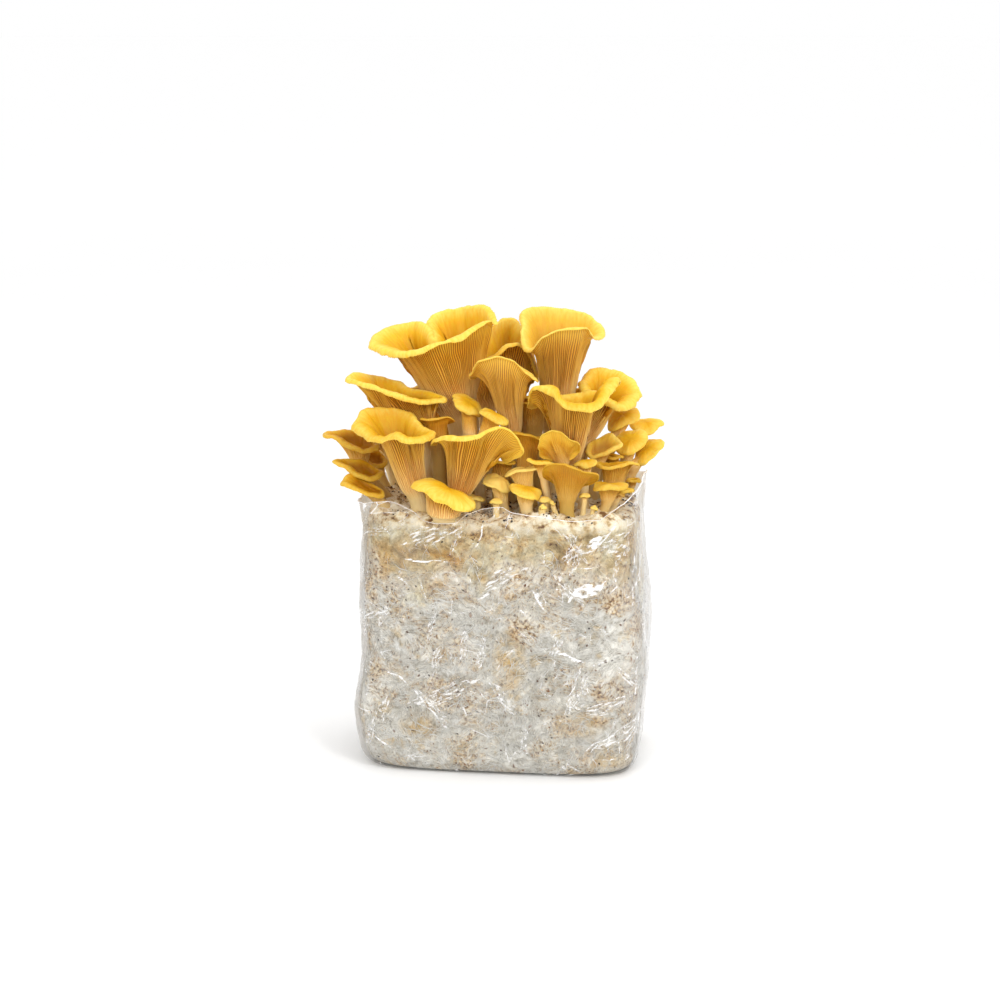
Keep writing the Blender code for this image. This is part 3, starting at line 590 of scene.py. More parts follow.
def curl_lip(m, margin, roll, arrival, normal, ring):
    """The lip: the wall curls on outwards by a small radius, then comes back on the upper side."""
    scallop = 1 + lumps(ring, LIP_SCALLOPS, m.seed) + GILL_SCALLOP * (-1.0) ** np.arange(len(ring))
    turn = m.look.lip_turn * (1 + lumps(ring, LIP_TURNS, m.seed))[:, None]
    rolled = ease(np.degrees(roll), *LIP_ROLLS)
    turn = np.radians(turn * (LIP_LEAST + (1 - LIP_LEAST) * rolled))
    across = unit(np.cross(arrival, np.cross(normal, arrival)))
    bend = turn * np.linspace(0, 1, m.look.lip_rows + 1)[1:, None, None]
    curl = np.sin(bend) * arrival + (1 - np.cos(bend)) * normal
    lip = margin + m.look.lip * scallop[:, None] * curl
    normals = np.cos(bend) * across - np.sin(bend) * arrival
    forward = np.cos(turn) * arrival + np.sin(turn) * across
    half = 0.5 * m.look.margin
    edge = [lip[-1] - normals[-1] * half + half * (np.sin(b) * forward + np.cos(b) * normals[-1])
            for b in EDGE_BENDS]
    return np.concatenate((lip, edge, (lip - m.look.margin * normals)[::-1]))


def hollow_top(m, wall, normals, ring):
    """A funnel's inner side: its rings, the point that closes them and how high each ring lies."""
    look = m.look
    s = 1 - (1 - m.deepest) * np.linspace(0, 1, look.top_rows) ** ROW_POWER
    position = s * (look.wall_rows - 1)
    low = np.clip(position.astype(int), 0, look.wall_rows - 2)
    part = (position - low)[:, None, None]
    base = wall[low] * (1 - part) + wall[low + 1] * part
    side = unit(normals[low] * (1 - part) + normals[low + 1] * part)
    pleats = look.ripple * lumps(ring, TOP_PLEATS, m.seed) * ease(s, *PLEATED)[:, None]
    thickness = (look.margin + look.flesh * (1 - s) ** FLESH_POWER)[:, None] + pleats
    middle = base.mean(axis=1, keepdims=True)
    spoke = np.linalg.norm(base - middle, axis=-1)
    shrunk = middle + (base - middle) * np.maximum(1 - thickness / spoke, LEAST_HOLLOW)[..., None]
    low_down = ease(s, *NARROWING)[:, None, None]
    hollow = (base - side * thickness[..., None]) * (1 - low_down) + shrunk * low_down
    centre = hollow[-1].mean(axis=0)
    spokes = hollow[-1] - centre
    sink = FLOOR_SINK * np.linalg.norm(spokes, axis=1).mean()
    floor = [centre + spokes * math.cos(b) - sink * math.sin(b) * m.lean for b in FLOOR_BENDS]
    return (np.concatenate((hollow, floor)), centre - sink * m.lean,
            np.concatenate((s, np.full(len(floor), m.deepest))))


def domed_top(m, margin, axis, ring):
    """A full cap's top: its rings, the point that closes them and how high each ring lies."""
    middle = margin.mean(axis=0)
    fractions = np.linspace(0.97, 0.05, m.look.top_rows)
    f = fractions[:, None]
    uneven = (m.look.ripple * lumps(ring, TOP_PLEATS, m.seed)
              + (0.15 * m.crown + 0.3) * lumps(ring, TOP_DIMPLES, m.seed))
    rise = m.look.margin + m.crown * (1 - f ** 3) + uneven * f
    top = middle + (margin - middle) * f[..., None] + rise[..., None] * axis
    return top, middle + (m.look.margin + m.crown) * axis, 0.80 + 0.20 * fractions


def make_mushroom(m):
    """A whole mushroom: stem, gilled wall, curled margin and top, as one closed mesh."""
    look = m.look
    length_round = loop_lengths(m.rim[:, :3])[-1]
    columns = 2 * max(16, 4 * int(round(length_round / look.pitch / 4)))
    turn = circle(columns)
    ring = raised(np.column_stack((np.cos(turn), np.sin(turn)))) * length_round / FULL_TURN

    margin, axis, roll, arrival = shape_margin(m, ring)
    axes = cross_axes(m.lean)
    turns = neck_turns(margin, m.neck, axes)[:, None]
    foot, stem = shape_stem(m, turns)
    heights = np.linspace(0, 1, look.wall_rows)
    outer = np.concatenate((stem, shape_wall(m, turns, axes, margin, arrival, heights)))
    rows_along = np.concatenate((np.linspace(-1, 0, len(stem), endpoint=False), heights))
    calm = (1 - END_CALM * ease(np.abs(rows_along), *CALM_ENDS))[:, None]
    swell = look.ripple * lumps(outer, WALL_SWELL, m.seed) * calm
    outer = outer + surface_normals(outer) * swell[..., None]
    normals = surface_normals(outer)
    gilled, gill_shade_mask = cut_gills(m, outer, normals, rows_along, ring)
    lip = curl_lip(m, margin, roll, arrival, normals[-1], ring)
    if m.crown is None:
        top, pole, top_along = hollow_top(m, outer[len(stem):], normals[len(stem):], ring)
    else:
        top, pole, top_along = domed_top(m, margin, axis, ring)

    grid = np.concatenate((gilled, lip, top))
    rows, under, lips, bends = len(grid), len(gilled), look.lip_rows, len(EDGE_BENDS)
    over_lip = np.linspace(LIP_FROM, LIP_TO, lips)
    reach = np.concatenate((rows_along, over_lip, np.full(bends, EDGE_AT), over_lip[::-1],
                            top_along))[:, None]
    upper = np.concatenate((np.zeros(under), np.linspace(0.1, 0.5, lips),
                            np.linspace(0.6, 1, bends), np.ones(lips + len(top))))[:, None]
    fibre = raised(np.broadcast_to(ring, grid.shape), reach * FIBRE_REACH + FIBRE_UPPER * upper)

    def with_ends(values, *ends):
        """Values for the whole grid, then for the points at the foot and the top."""
        return np.append(np.broadcast_to(values, (rows, columns)), ends)

    attributes = {
        "reach": with_ends(reach, -1, top_along[-1]),
        "upper": with_ends(upper, 0, 1),
        "gill": with_ends(np.concatenate((gill_shade_mask, np.ones((rows - under, columns)))), 1, 1),
        "tone": with_ends(m.tone, m.tone, m.tone),
        "fibre": np.vstack((fibre.reshape(-1, 3), (0, 0, -FIBRE_REACH), (0, 0, FIBRE_UPPER))),
    }
    points = turned(np.vstack((grid.reshape(-1, 3), foot, pole)))
    body = build_mesh(m.name + "_skin", points, grid_faces(rows, columns),
                      closed_ends(rows, columns), attributes)
    column_of = np.full((rows, columns), -1)
    column_of[len(stem):under - 2] = np.arange(columns)
    sharpen(body.data, with_ends(column_of, -1, -1))
    return body


# ---------------------------------------------------------------- materials


def srgb(*channels):
    """A colour given as 0 to 255 a channel, as the shader's linear values."""
    shares = [value / 255 for value in channels]
    return (*(v / 12.92 if v <= 0.04045 else ((v + 0.055) / 1.055) ** 2.4 for v in shares), 1.0)


def colour_of(value):
    """Turns three channels from 0 to 255 into a shader's colour and leaves the rest as it is."""
    return srgb(*value) if isinstance(value, tuple) and len(value) == 3 else value


def add_node(tree, kind, inputs=(), **settings):
    """A new node, its settings made first and then its inputs fed by values or other nodes."""
    node = tree.nodes.new("ShaderNode" + kind)
    for key, value in settings.items():
        setattr(node, key, value)
    for key, value in dict(inputs).items():
        if isinstance(value, Signal):
            tree.links.new(value.socket, node.inputs[key])
        else:
            node.inputs[key].default_value = value
    return node


class Signal:
    """What a node gives. Each method adds the node it speaks of and returns what that one gives."""

    def __init__(self, tree, kind, inputs=(), output=0, **settings):
        self.tree = tree
        self.node = add_node(tree, kind, inputs, **settings)
        self.socket = self.node.outputs[output]

    def then(self, kind, inputs=(), output=0, **settings):
        return Signal(self.tree, kind, inputs, output, **settings)

    def output(self, name):
        """Another of the same node's outputs."""
        other = copy(self)
        other.socket = self.node.outputs[name]
        return other

    def math(self, operation, other=0.0):
        return self.then("Math", {0: self, 1: other}, operation=operation)

    __add__ = partialmethod(math, "ADD")
    __sub__ = partialmethod(math, "SUBTRACT")
    __mul__ = partialmethod(math, "MULTIPLY")
    __abs__ = partialmethod(math, "ABSOLUTE")
    higher = partialmethod(math, "MAXIMUM")
    lower = partialmethod(math, "MINIMUM")

    def rise(self, low, high):
        """0 at low, 1 at high, straight in between and held at both ends."""
        return self.then("MapRange", {0: self, 1: low, 2: high})

    def ramp(self, *stops):
        """A colour for each value, between stops of (value, red, green, blue)."""
        colours = self.then("ValToRGB", {0: self})
        elements = colours.node.color_ramp.elements
        while len(elements) < len(stops):
            elements.new(0.5)
        for element, (place, *channels) in zip(elements, stops):
            element.position = place
            element.color = srgb(*channels)
        return colours

    def attribute(self, name, output="Fac"):
        return self.then("Attribute", output=output, attribute_name=name)

    def noise(self, scale, detail=3.0, rough=0.5, distortion=0.0, output=0):
        return self.then("TexNoise", {"Vector": self, "Scale": scale, "Detail": detail,
                                      "Roughness": rough, "Distortion": distortion}, output)

    def cells(self, scale, **settings):
        """The distance in a pattern of cells, and with "Color" a random colour for each cell."""
        return self.then("TexVoronoi", {"Vector": self, "Scale": scale}, "Distance", **settings)

    def warped(self, scale, amount, detail=2.0):
        """These places, each moved by up to half the amount either way."""
        drift = self.noise(scale, detail, output="Color")
        return self.then("VectorMath", {0: drift, 1: (amount, amount, 0.0), 2: self},
                         operation="MULTIPLY_ADD")

    def moved(self, *offset):
        return self.then("Mapping", {"Vector": self, "Location": offset})

    def streaked(self, degrees, along, across, offset=(0.0, 0.0, 0.0)):
        """These places on axes turned by `degrees`, counted `along` and `across` to a metre."""
        return self.then("Mapping", {"Vector": self, "Location": offset,
                                     "Rotation": (0.0, 0.0, math.radians(degrees)),
                                     "Scale": (1 / along, 1 / across, 1.0)}, vector_type="TEXTURE")

    def bump(self, distance, strength):
        return self.then("Bump", {"Height": self, "Distance": distance, "Strength": strength})

    def surface(self, roughness, **inputs):
        """A surface of this colour. An input's name has a space for each underline."""
        named = {key.replace("_", " "): value for key, value in inputs.items()}
        return self.then("BsdfPrincipled", {"Base Color": self, "Roughness": roughness, **named})


def mix(factor, a, b, blend="MIX"):
    """Colour a where the factor is 0, and b where it is 1."""
    return factor.then("Mix", {0: factor, 6: colour_of(a), 7: colour_of(b)}, 2, data_type="RGBA",
                       blend_type=blend)


def tint(factor, colour, by):
    """The colour, multiplied by another one where the factor is 1."""
    return mix(factor, colour, by, "MULTIPLY")


def highest(signals):
    return reduce(Signal.higher, signals)


def new_material(name, look):
    """A material whose surface is what `look` makes of the places on the object."""
    made = bpy.data.materials.new(name)
    made.use_nodes = True
    made.node_tree.nodes.clear()
    surface = look(Signal(made.node_tree, "TexCoord", output="Object"))
    add_node(made.node_tree, "OutputMaterial", {"Surface": surface})
    return made


def flesh_look(place):
    reach, upper = place.attribute("reach"), place.attribute("upper")
    gill, tone = place.attribute("gill"), place.attribute("tone")
    fibre = place.attribute("fibre", "Vector")
    patches, streaks = place.noise(55.0), fibre.noise(0.55, 2.0)

    # under the cap, from the stem's foot to the margin: the gills' crests and the gaps between, in
    # painted shade
    from_stem = reach * 0.5 + 0.5
    crests = from_stem.ramp((0.00, 236, 216, 172), (0.30, 234, 210, 158), (0.60, 238, 202, 132),
                            (0.73, 228, 182, 80), (0.86, 224, 170, 48), (1.00, 242, 200, 68))
    gaps = from_stem.ramp((0.20, 220, 184, 128), (0.60, 204, 150, 78), (0.72, 158, 90, 16),
                          (0.82, 138, 70, 0), (0.92, 144, 76, 0), (1.00, 188, 128, 18))
    under = mix(gill.rise(0.0, 0.80), gaps, crests)
    # above, from the hollow's floor to the margin: darker deeper in a hollow, painted shade
    over = reach.ramp((0.20, 156, 88, 2), (0.45, 176, 116, 2), (0.70, 206, 156, 10),
                      (0.90, 232, 190, 40), (1.00, 244, 214, 98))
    over = tint(streaks.rise(0.35, 0.75), over, (255, 232, 165))
    colour = mix(upper.rise(0.1, 0.9), under, over)
    colour = tint(patches.rise(0.35, 0.8) * 0.5, colour, (248, 220, 140))
    # the whole mushroom darker (mostly painted shade, for those deep in the cluster) or paler
    # (partly its own colour, partly painted light)
    colour = tint(tone.higher(0.0), colour, (208, 188, 116))
    colour = mix(tone.rise(0.0, -1.0), colour, (238, 214, 142))
    return colour.surface(
        0.52, Normal=fibre.noise(1.6).bump(0.0006, 0.35), Subsurface_Weight=0.2,
        Subsurface_Radius=(1.0, 0.8, 0.35), Subsurface_Scale=0.002, Specular_IOR_Level=0.25)


# Stains that show through the front film: across, height and size each way in millimetres.
OCHRE_STAINS = ((10, 82, 11, 22), (80, 13, 18, 11), (-53, 33, 13, 9), (88, 146, 7, 12),
                (-70, 150, 16, 14), (60, 40, 16, 10), (-34, 156, 22, 10))
BROWN_STAINS = ((-44, 131, 10, 8), (35, 127, 9, 12), (50, 36, 14, 8), (10, 70, 7, 8),
                (-10, 171, 9, 5), (-66, 118, 10, 9), (-30, 60, 20, 10), (22, 104, 10, 10),
                (-20, 22, 16, 9))
# Sets of fine white fibres: the way they run in degrees, and how many fit a metre along them,
# across them and from one patch of them to the next.
FIBRES = ((28, 60, 260, 34), (-33, 60, 280, 30), (80, 70, 270, 28), (5, 60, 330, 38),
          (55, 80, 420, 44), (-62, 80, 440, 44), (44, 26, 150, 24), (-18, 26, 170, 26))


def block_look(place):
    wrap = place.attribute("wrap", "Vector")
    bent = wrap.warped(60.0, 0.014, 3.0)
    broad, middle = wrap.noise(26.0, 4.0, 0.6), bent.noise(90.0, 4.0, 0.65)
    fine = bent.noise(520.0, 3.0, 0.6)
    xyz = place.then("SeparateXYZ", {0: place})
    x, y, z = (xyz.output(k) for k in range(3))
    front = y.rise(-0.03, -0.05)

    def fibres(degrees, along, across, patch, seed):
        """Bent white fibres that mostly run one way, in patches of the wall."""
        strand = bent.streaked(degrees, along, across, (seed, seed, seed)).noise(1.0, 3.0, 0.6)
        patches = wrap.moved(3 * seed, seed, seed).noise(patch, 2.0)
        return abs(strand - 0.5).rise(0.085, 0.01) * patches.rise(0.52, 0.62)

    def stains(spots):
        """1 in the middle of each stain, fading outwards."""
        blots = []
        for across, height, wide, tall in spots:
            dx, dz = (x - across * MM) * (1 / (wide * MM)), (z - height * MM) * (1 / (tall * MM))
            blots.append((dx * dx + dz * dz).rise(1.6, 0.0))
        return highest(blots) * front

    # the ground of grain and sawdust, and the skin of mycelium that covers most of it
    cover = broad * 0.60 + middle * 0.25 + fine * 0.15 - stains(BROWN_STAINS) * 0.09
    ground = wrap.noise(400.0, 3.0, 0.60).ramp(
        (0.36, 84, 52, 22), (0.42, 148, 108, 62), (0.49, 200, 168, 122), (0.58, 240, 226, 198))
    skin = bent.noise(190.0, 5.0, 0.7).ramp(
        (0.36, 158, 151, 135), (0.47, 198, 194, 185), (0.60, 234, 233, 228))
    colour = mix(cover.rise(0.440, 0.515), ground, skin)
    # fibres, fewer in the beige band below the top
    high = (z + (broad - 0.5) * 0.16).rise(0.128, 0.156)
    web = bent.cells(330.0, feature="DISTANCE_TO_EDGE").rise(0.08, 0.0) * 0.35
    strands = highest([fibres(*row, 0.7 * k + 0.3) for k, row in enumerate(FIBRES)] + [web])
    strands = strands * (high * -0.4 + 0.85)
    colour = mix(strands, colour, (248, 245, 236))
    beige = bent.noise(52.0, 5.0, 0.6).ramp(
        (0.36, 200, 170, 106), (0.46, 240, 217, 165), (0.56, 255, 247, 217), (0.66, 255, 255, 250))
    colour = tint(high * 0.9, colour, beige)
    # ochre stains, and the rough top
    ochre = stains(OCHRE_STAINS) * bent.noise(120.0, 4.0, 0.6).rise(0.34, 0.56)
    orange = wrap.noise(75.0, 3.0, 0.6).rise(0.56, 0.68) * 0.6
    colour = tint(ochre.higher(orange) * 0.8, colour, (232, 194, 106))
    top = place.noise(150.0, 4.0, 0.6).ramp(
        (0.34, 112, 76, 38), (0.42, 204, 176, 128), (0.52, 240, 228, 198), (0.70, 250, 245, 230))
    colour = mix(z.rise(0.171, 0.177), colour, top)
    # specks of husk where the skin is thin
    cells = bent.cells(430.0)
    chance = place.then("SeparateColor", {0: cells.output("Color")})
    speck = cells.rise(0.46, 0.22) * chance.rise(0.84, 0.90)
    speck = speck * middle.rise(0.58, 0.44) * (high * -0.6 + 1.0)
    colour = mix(speck, colour, chance.ramp(
        (0.86, 176, 112, 44), (0.93, 104, 62, 28), (0.99, 48, 30, 16)))
    return colour.surface(0.9, Normal=(fine * 0.5 + strands).bump(0.002, 0.65))


def thread_look(place):
    return place.noise(60.0).ramp((0.35, 226, 220, 206), (0.65, 250, 249, 245)).surface(0.85)


def crumb_look(place):
    colour = place.attribute("shade").ramp(
        (0.0, 28, 18, 10), (0.40, 66, 42, 20), (0.65, 142, 94, 44), (1.0, 222, 192, 142))
    return tint(place.noise(900.0, 2.0).rise(0.4, 0.7), colour, (200, 180, 160)).surface(0.8)


# Sets of folds in the crumpled film, drawn as painted glints: the way they run in degrees, how many
# facets fit a metre along and across them, where their pattern starts, and how many patches of
# painted glints fit a metre.
FOLDS = ((24, 30, 120, 1.3, 34.0), (-48, 40, 150, 4.1, 40.0), (72, 60, 220, 7.7, 44.0))
# The film's clear colour, its gloss's grey, and the white where glints are painted on it.
FILM_CLEAR = (0.99, 0.99, 0.985, 1.0)
FILM_GREY, FILM_GLINT_WHITE = (0.88, 0.88, 0.88, 1.0), (0.98, 0.98, 0.98, 1.0)


def film_look(place):
    crease, veil = place.attribute("crease"), place.attribute("veil")
    wrap = place.attribute("wrap", "Vector")
    bent = wrap.warped(40.0, 0.007)

    def facets(degrees, along, across, seed, patch):
        """Painted glints: white lines along the sharp folds of crumpled film, and on some flat
        facets between.
        """
        turned_way = bent.streaked(degrees, along, across, (seed, seed, 0.0))
        lit = wrap.moved(2 * seed, seed, 0.0).noise(patch, 3.0, 0.6)
        folds = turned_way.cells(1.0, voronoi_dimensions="2D", feature="DISTANCE_TO_EDGE")
        cells = turned_way.cells(1.0, voronoi_dimensions="2D").output("Color")
        chance = place.then("SeparateColor", {0: cells})
        line = folds.rise(0.022, 0.006) * lit.rise(0.57, 0.67)
        fill = chance.rise(0.95, 0.96) * turned_way.noise(5.0, 3.0, 0.7).rise(0.50, 0.60)
        return line.higher(fill * 0.8)

    # painted glints: white, glossier streaks along the drawn creases and folds, and on some facets
    ragged = (bent.streaked(38, 130, 700).noise(1.0, 3.0, 0.6) - 0.5) * 0.9
    glints = (crease + ragged).rise(0.36, 0.58)
    white = highest([glints] + [facets(*row) for row in FOLDS])
    dents = place.noise(160.0, 4.0, 0.6, 1.5).bump(0.0006, 0.3)
    clear = place.then("BsdfTransparent", {"Color": FILM_CLEAR})
    gloss = mix(white, FILM_GREY, FILM_GLINT_WHITE).surface(0.16, IOR=2.2, Normal=dents)
    edge = place.then("Fresnel", {"IOR": 1.45, "Normal": dents})
    share = white * 0.8 + (edge * 0.7 + veil * 0.20)
    return place.then("MixShader", {0: share.lower(0.92), 1: clear, 2: gloss})


FLOOR_DARK, FLOOR_PALE = (0.92, 0.92, 0.92, 1.0), (0.95, 0.95, 0.95, 1.0)
WHITE = (1.0, 1.0, 1.0, 1.0)


def floor_look(place):
    """A pale floor that turns white far off, so that it ends without a line."""
    distance = place.then("VectorMath", {0: place}, "Value", operation="LENGTH")
    near = mix(place.noise(3.0, 2.0), FLOOR_DARK, FLOOR_PALE)
    return mix(distance.rise(0.8, 4.0), near, WHITE).surface(0.9)


# ---------------------------------------------------------------- bag and block

BAG_WIDTH = 194.0
BAG_DEPTH = 118.0
BAG_SQUARENESS = 5.4
BLOCK_SQUARENESS = 4.4
# How far the bag's wall stands out at each height, both in millimetres.
WALL_HEIGHTS = (0.0, 2.5, 8.0, 60.0, 120.0, 170.0, 215.0)
WALL_OUTSETS = (-5.0, -2.0, 0.5, 2.0, 1.2, -0.5, 0.5)
# The bag's open edge, from its front left corner along the front, right, back and left: a place
# on it, and how high the edge stands there.
COLLAR = (
    (-86, -50, 189.5), (-77, -59, 192.5), (-67, -59, 191), (-53, -59, 184), (-48, -59, 180.5),
    (-35, -59, 179.5), (-25, -59, 180), (-19, -59, 186), (-8, -59, 190), (6, -59, 190.5),
    (11, -59, 188), (25, -59, 185.5), (53, -59, 183), (74, -59, 182.5), (84, -56, 190),
    (93, -45, 199), (96, -25, 203.5), (97, -5, 205.5), (97, 15, 203), (96, 35, 198),
    (90, 52, 194), (60, 59, 191), (30, 59, 189), (0, 59, 190), (-30, 59, 188), (-60, 59, 191),
    (-88, 52, 190), (-97, 25, 188), (-97, 0, 190), (-97, -25, 187), (-94, -42, 188))
FILM_COLUMNS = 420
BLOCK_COLUMNS = 270
# How much denser than elsewhere the columns stand along the front, and where they start.
FILM_FRONT = 3.2
BLOCK_FRONT = 1.6
FIRST_TURN = math.radians(135)
FINE_TURNS = 5760
# The wall runs out from the base over this height. Above COLLAR_START the film stands free.
BASE_CURVE = 14
COLLAR_START = 174
COLLAR_ROWS = 14
# The collar's edge curls out by this radius, past these turns.
EDGE_CURL = 0.7
EDGE_CURL_BENDS = np.radians((40, 95, 150))
# Heights of the lowest rows of points, then the first height and the number of the even ones.
FILM_LOW_ROWS = (0, 0.8, 2, 4, 6.5, 9, 12)
FILM_ROWS = (13.5, 165)
BLOCK_LOW_ROWS = (1.2, 2, 3.5, 6, 9, 12)
BLOCK_ROWS = (15, 74)
# The block's pattern goes by the distance round it at this row.
PATTERN_ROW = 40
# Lumps, each (height, size, number of its own).
BAG_LUMPS = ((1.8, 58.0, 101), (1.0, 24.0, 102))
BLOCK_LUMPS = ((0.35, 4.5, 210), (0.6, 9.0, 211))
COLLAR_LUMPS = ((1.2, 16.0, 180), (0.8, 6.0, 181))
COLLAR_WAVES = ((0.7, 11.0, 190),)
TOP_LUMPS = ((1.6, 19.0, 201), (0.5, 2.2, 203))
CRUMB_DRIFTS = ((1.0, 9.0, 230), (0.5, 22.0, 231))
GRAIN_DRIFTS = ((1.0, 16.0, 240), (0.6, 6.0, 241))
# The block stands this far inside the film.
BLOCK_INSET = 1.3
BLOCK_SINK = 0.8


def rounded_box(turn, outset, squareness):
    """Points of a rounded rectangle at the given turns round it."""
    power = 2 / squareness
    return np.stack(((BAG_WIDTH / 2 + outset) * fuller(np.cos(turn), power),
                     (BAG_DEPTH / 2 + outset) * fuller(np.sin(turn), power)), axis=-1)


def even_turns(squareness, count, front_share=1.0):
    """Turns round from the first, evenly spaced or `front_share` times denser in front."""
    turn = FIRST_TURN + 2 * np.pi * np.arange(FINE_TURNS + 1) / FINE_TURNS
    curve = rounded_box(turn, 0.0, squareness)
    weight = 1 + (front_share - 1) * ease(-curve[1:, 1], 15, 50)
    steps = np.linalg.norm(np.diff(curve, axis=0), axis=1) * weight
    along = np.insert(np.cumsum(steps), 0, 0.0)
    return np.interp(along[-1] * np.arange(count) / count, along, turn)


def collar_height(places):
    """How high the open edge stands at each place, by its bearing from the bag's middle."""
    x, y, height = np.array(COLLAR, float).T
    bearings = np.degrees(np.arctan2(places[:, 1], places[:, 0]))
    return np.interp(bearings, np.degrees(np.arctan2(y, x)), height, period=360)


def outset_at(height):
    return np.interp(height, WALL_HEIGHTS, WALL_OUTSETS)


def body_swell(points):
    """How far the bag bulges out or in at each place on its wall, in millimetres."""
    x, y, z = np.moveaxis(points, -1, 0)
    left = 5.0 * hump(z, 36, 22) - 1.2 * hump(z, 90, 18)
    right = 2.6 * hump(z, 88, 40)
    notch = -1.8 * hump(x, 5, 2.5) * ease(z, 22, 4) * (y < 0)
    sides = ease(np.abs(x), 60, 95)
    return lumps(points, BAG_LUMPS) + np.where(x < 0, left, right) * sides + notch


# Creases of the front film: the places (across, height) each one runs through, how far it stands
# out, how wide it is and how white a glint is painted along it.
CREASES = (
    (((-67, 155), (-55, 152), (-41, 154), (-16, 150)), 1.5, 1.4, 1.0),
    (((-74, 180), (-66, 170), (-56, 158), (-52, 150)), 0.9, 1.3, 0.5),
    (((-78, 176), (-70, 168)), 0.8, 1.0, 0.9),
    (((-70, 144), (-62, 138), (-56, 133)), 1.0, 1.2, 0.9),
    (((-56, 147), (-50, 139), (-47, 128), (-42, 118)), 1.0, 1.3, 0.8),
    (((-46, 141), (-34, 139), (-28, 131)), 0.9, 1.2, 0.9),
    (((-40, 118), (-26, 117), (-12, 119)), 0.9, 1.2, 0.8),
    (((-52, 122), (-42, 114), (-38, 106)), 0.9, 1.3, 0.8),
    (((-50, 160), (-34, 158), (-20, 152)), 0.7, 1.1, 0.6),
    (((-4, 150), (6, 148), (15, 141)), 1.0, 1.3, 0.8),
    (((-4, 143), (4, 139), (14, 140)), 0.8, 1.1, 0.7),
    (((-10, 128), (10, 124), (24, 126)), 0.8, 1.4, 0.5),
    (((25, 136), (30, 127), (35, 119)), 1.3, 1.8, 1.0),
    (((27, 161), (40, 158), (52, 152)), 0.9, 1.2, 0.7),
    (((54, 150), (66, 150), (72, 151)), 0.9, 1.2, 0.9),
    (((38, 92), (50, 90), (64, 84)), 1.3, 2.2, 0.9),
    (((68, 110), (74, 108), (80, 102)), 1.2, 1.8, 0.9),
    (((49, 53), (56, 53), (63, 48)), 1.2, 2.0, 0.9),
    (((60, 56), (74, 55), (84, 58)), 0.9, 1.3, 0.6),
    (((-76, 73), (-66, 70), (-58, 62)), 1.2, 1.9, 0.9),
    (((-84, 96), (-78, 84), (-70, 76)), 0.9, 1.2, 0.6),
    (((-60, 74), (-34, 66), (0, 56)), 1.0, 1.6, 0.6),
    (((96, 60), (60, 60), (12, 50)), 0.8, 1.4, 0.4),
    (((75, 44), (78, 30), (79, 8)), 1.0, 1.3, 0.8),
    (((84, 43), (85, 28), (87, 10)), 1.0, 1.2, 0.8),
    (((66, 36), (67, 24), (66, 12)), 0.8, 1.2, 0.7),
    (((70, 34), (73, 20), (73, 9)), 0.8, 1.1, 0.7),
    (((-90, 30), (-78, 22), (-63, 8)), 1.2, 1.6, 0.8),
    (((-96, 44), (-84, 30), (-72, 26)), 1.0, 1.4, 0.6),
    (((-88, 14), (-70, 12), (-52, 6)), 0.8, 1.3, 0.6),
    (((-90, 150), (-88, 120), (-92, 88)), 1.2, 1.8, 0.5),
    (((-84, 170), (-88, 140), (-82, 112)), 1.1, 1.6, 0.5),
    (((-92, 84), (-88, 60), (-93, 34)), 1.1, 1.7, 0.5),
    (((91, 190), (93, 150), (90, 104)), 1.3, 1.7, 0.6),
    (((95, 110), (93, 76), (95, 40)), 1.2, 1.6, 0.6),
    (((-6, 184), (-9, 172), (-14, 160)), 1.2, 1.7, 0.7),
    (((16, 182), (12, 172), (14, 160)), 1.0, 1.6, 0.5),
    (((-30, 174), (-16, 168), (-8, 158)), 0.9, 1.4, 0.5),
    (((30, 176), (46, 168), (58, 166)), 0.8, 1.3, 0.5),
    (((86, 184), (76, 172), (66, 160)), 1.3, 1.6, 0.8),
    (((30, 74), (40, 60), (38, 40)), 0.8, 1.5, 0.4),
    (((-30, 100), (-18, 88), (-14, 70)), 0.8, 1.4, 0.4),
    (((-34, 40), (-20, 26), (-8, 10)), 0.9, 1.4, 0.5))
# Facets where taut film lies flat, with a painted glint: their corners (across, height) and how
# white.
FACETS = (
    (((49, 126), (56, 140), (74, 140), (72, 133)), 0.9),
    (((76, 140), (84, 150), (92, 160), (80, 144)), 0.8),
    (((60, 165), (66, 172), (78, 175), (70, 163)), 0.8),
    (((74, 158), (80, 168), (90, 166), (84, 156)), 0.5),
    (((25, 134), (29, 136), (37, 121), (33, 119)), 0.5),
    (((-70, 145), (-64, 147), (-57, 134)), 0.4), (((-44, 143), (-36, 144), (-40, 136)), 0.4),
    (((76, 176), (84, 188), (80, 172)), 0.5), (((40, 92), (44, 95), (60, 86), (56, 84)), 0.5),
    (((-76, 74), (-72, 75), (-60, 62)), 0.4))
# How far the drawn creases and facets wander, and how their painted glints break up, as lumps.
CREASE_WANDER = (((1.1, 9.0, 140),), ((1.1, 8.0, 141),))
SHINE_BREAKS = ((0.40, 7.0, 142),)
FACET_STREAKS = ((0.55, 3.2, 143),)
FACET_RISE = 1.5


def distance_to_line(x, z, a, b):
    """Distance to a straight stretch from a to b, and how far along it the nearest place lies."""
    along = np.array(b, float) - a
    t = np.clip(((x - a[0]) * along[0] + (z - a[1]) * along[1]) / (along @ along), 0, 1)
    return np.hypot(x - a[0] - t * along[0], z - a[1] - t * along[1]), t


def depth_inside(x, z, corners):
    """How far inside a shape with straight sides each place lies."""
    middle = np.mean(corners, axis=0)
    depth = np.inf
    for corner, following in zip(corners, corners[1:] + corners[:1]):
        edge = np.subtract(following, corner, dtype=float)
        normal = np.array([-edge[1], edge[0]]) / np.hypot(*edge)
        normal *= np.sign((middle - corner) @ normal)
        depth = np.minimum(depth, (x - corner[0]) * normal[0] + (z - corner[1]) * normal[1])
    return depth


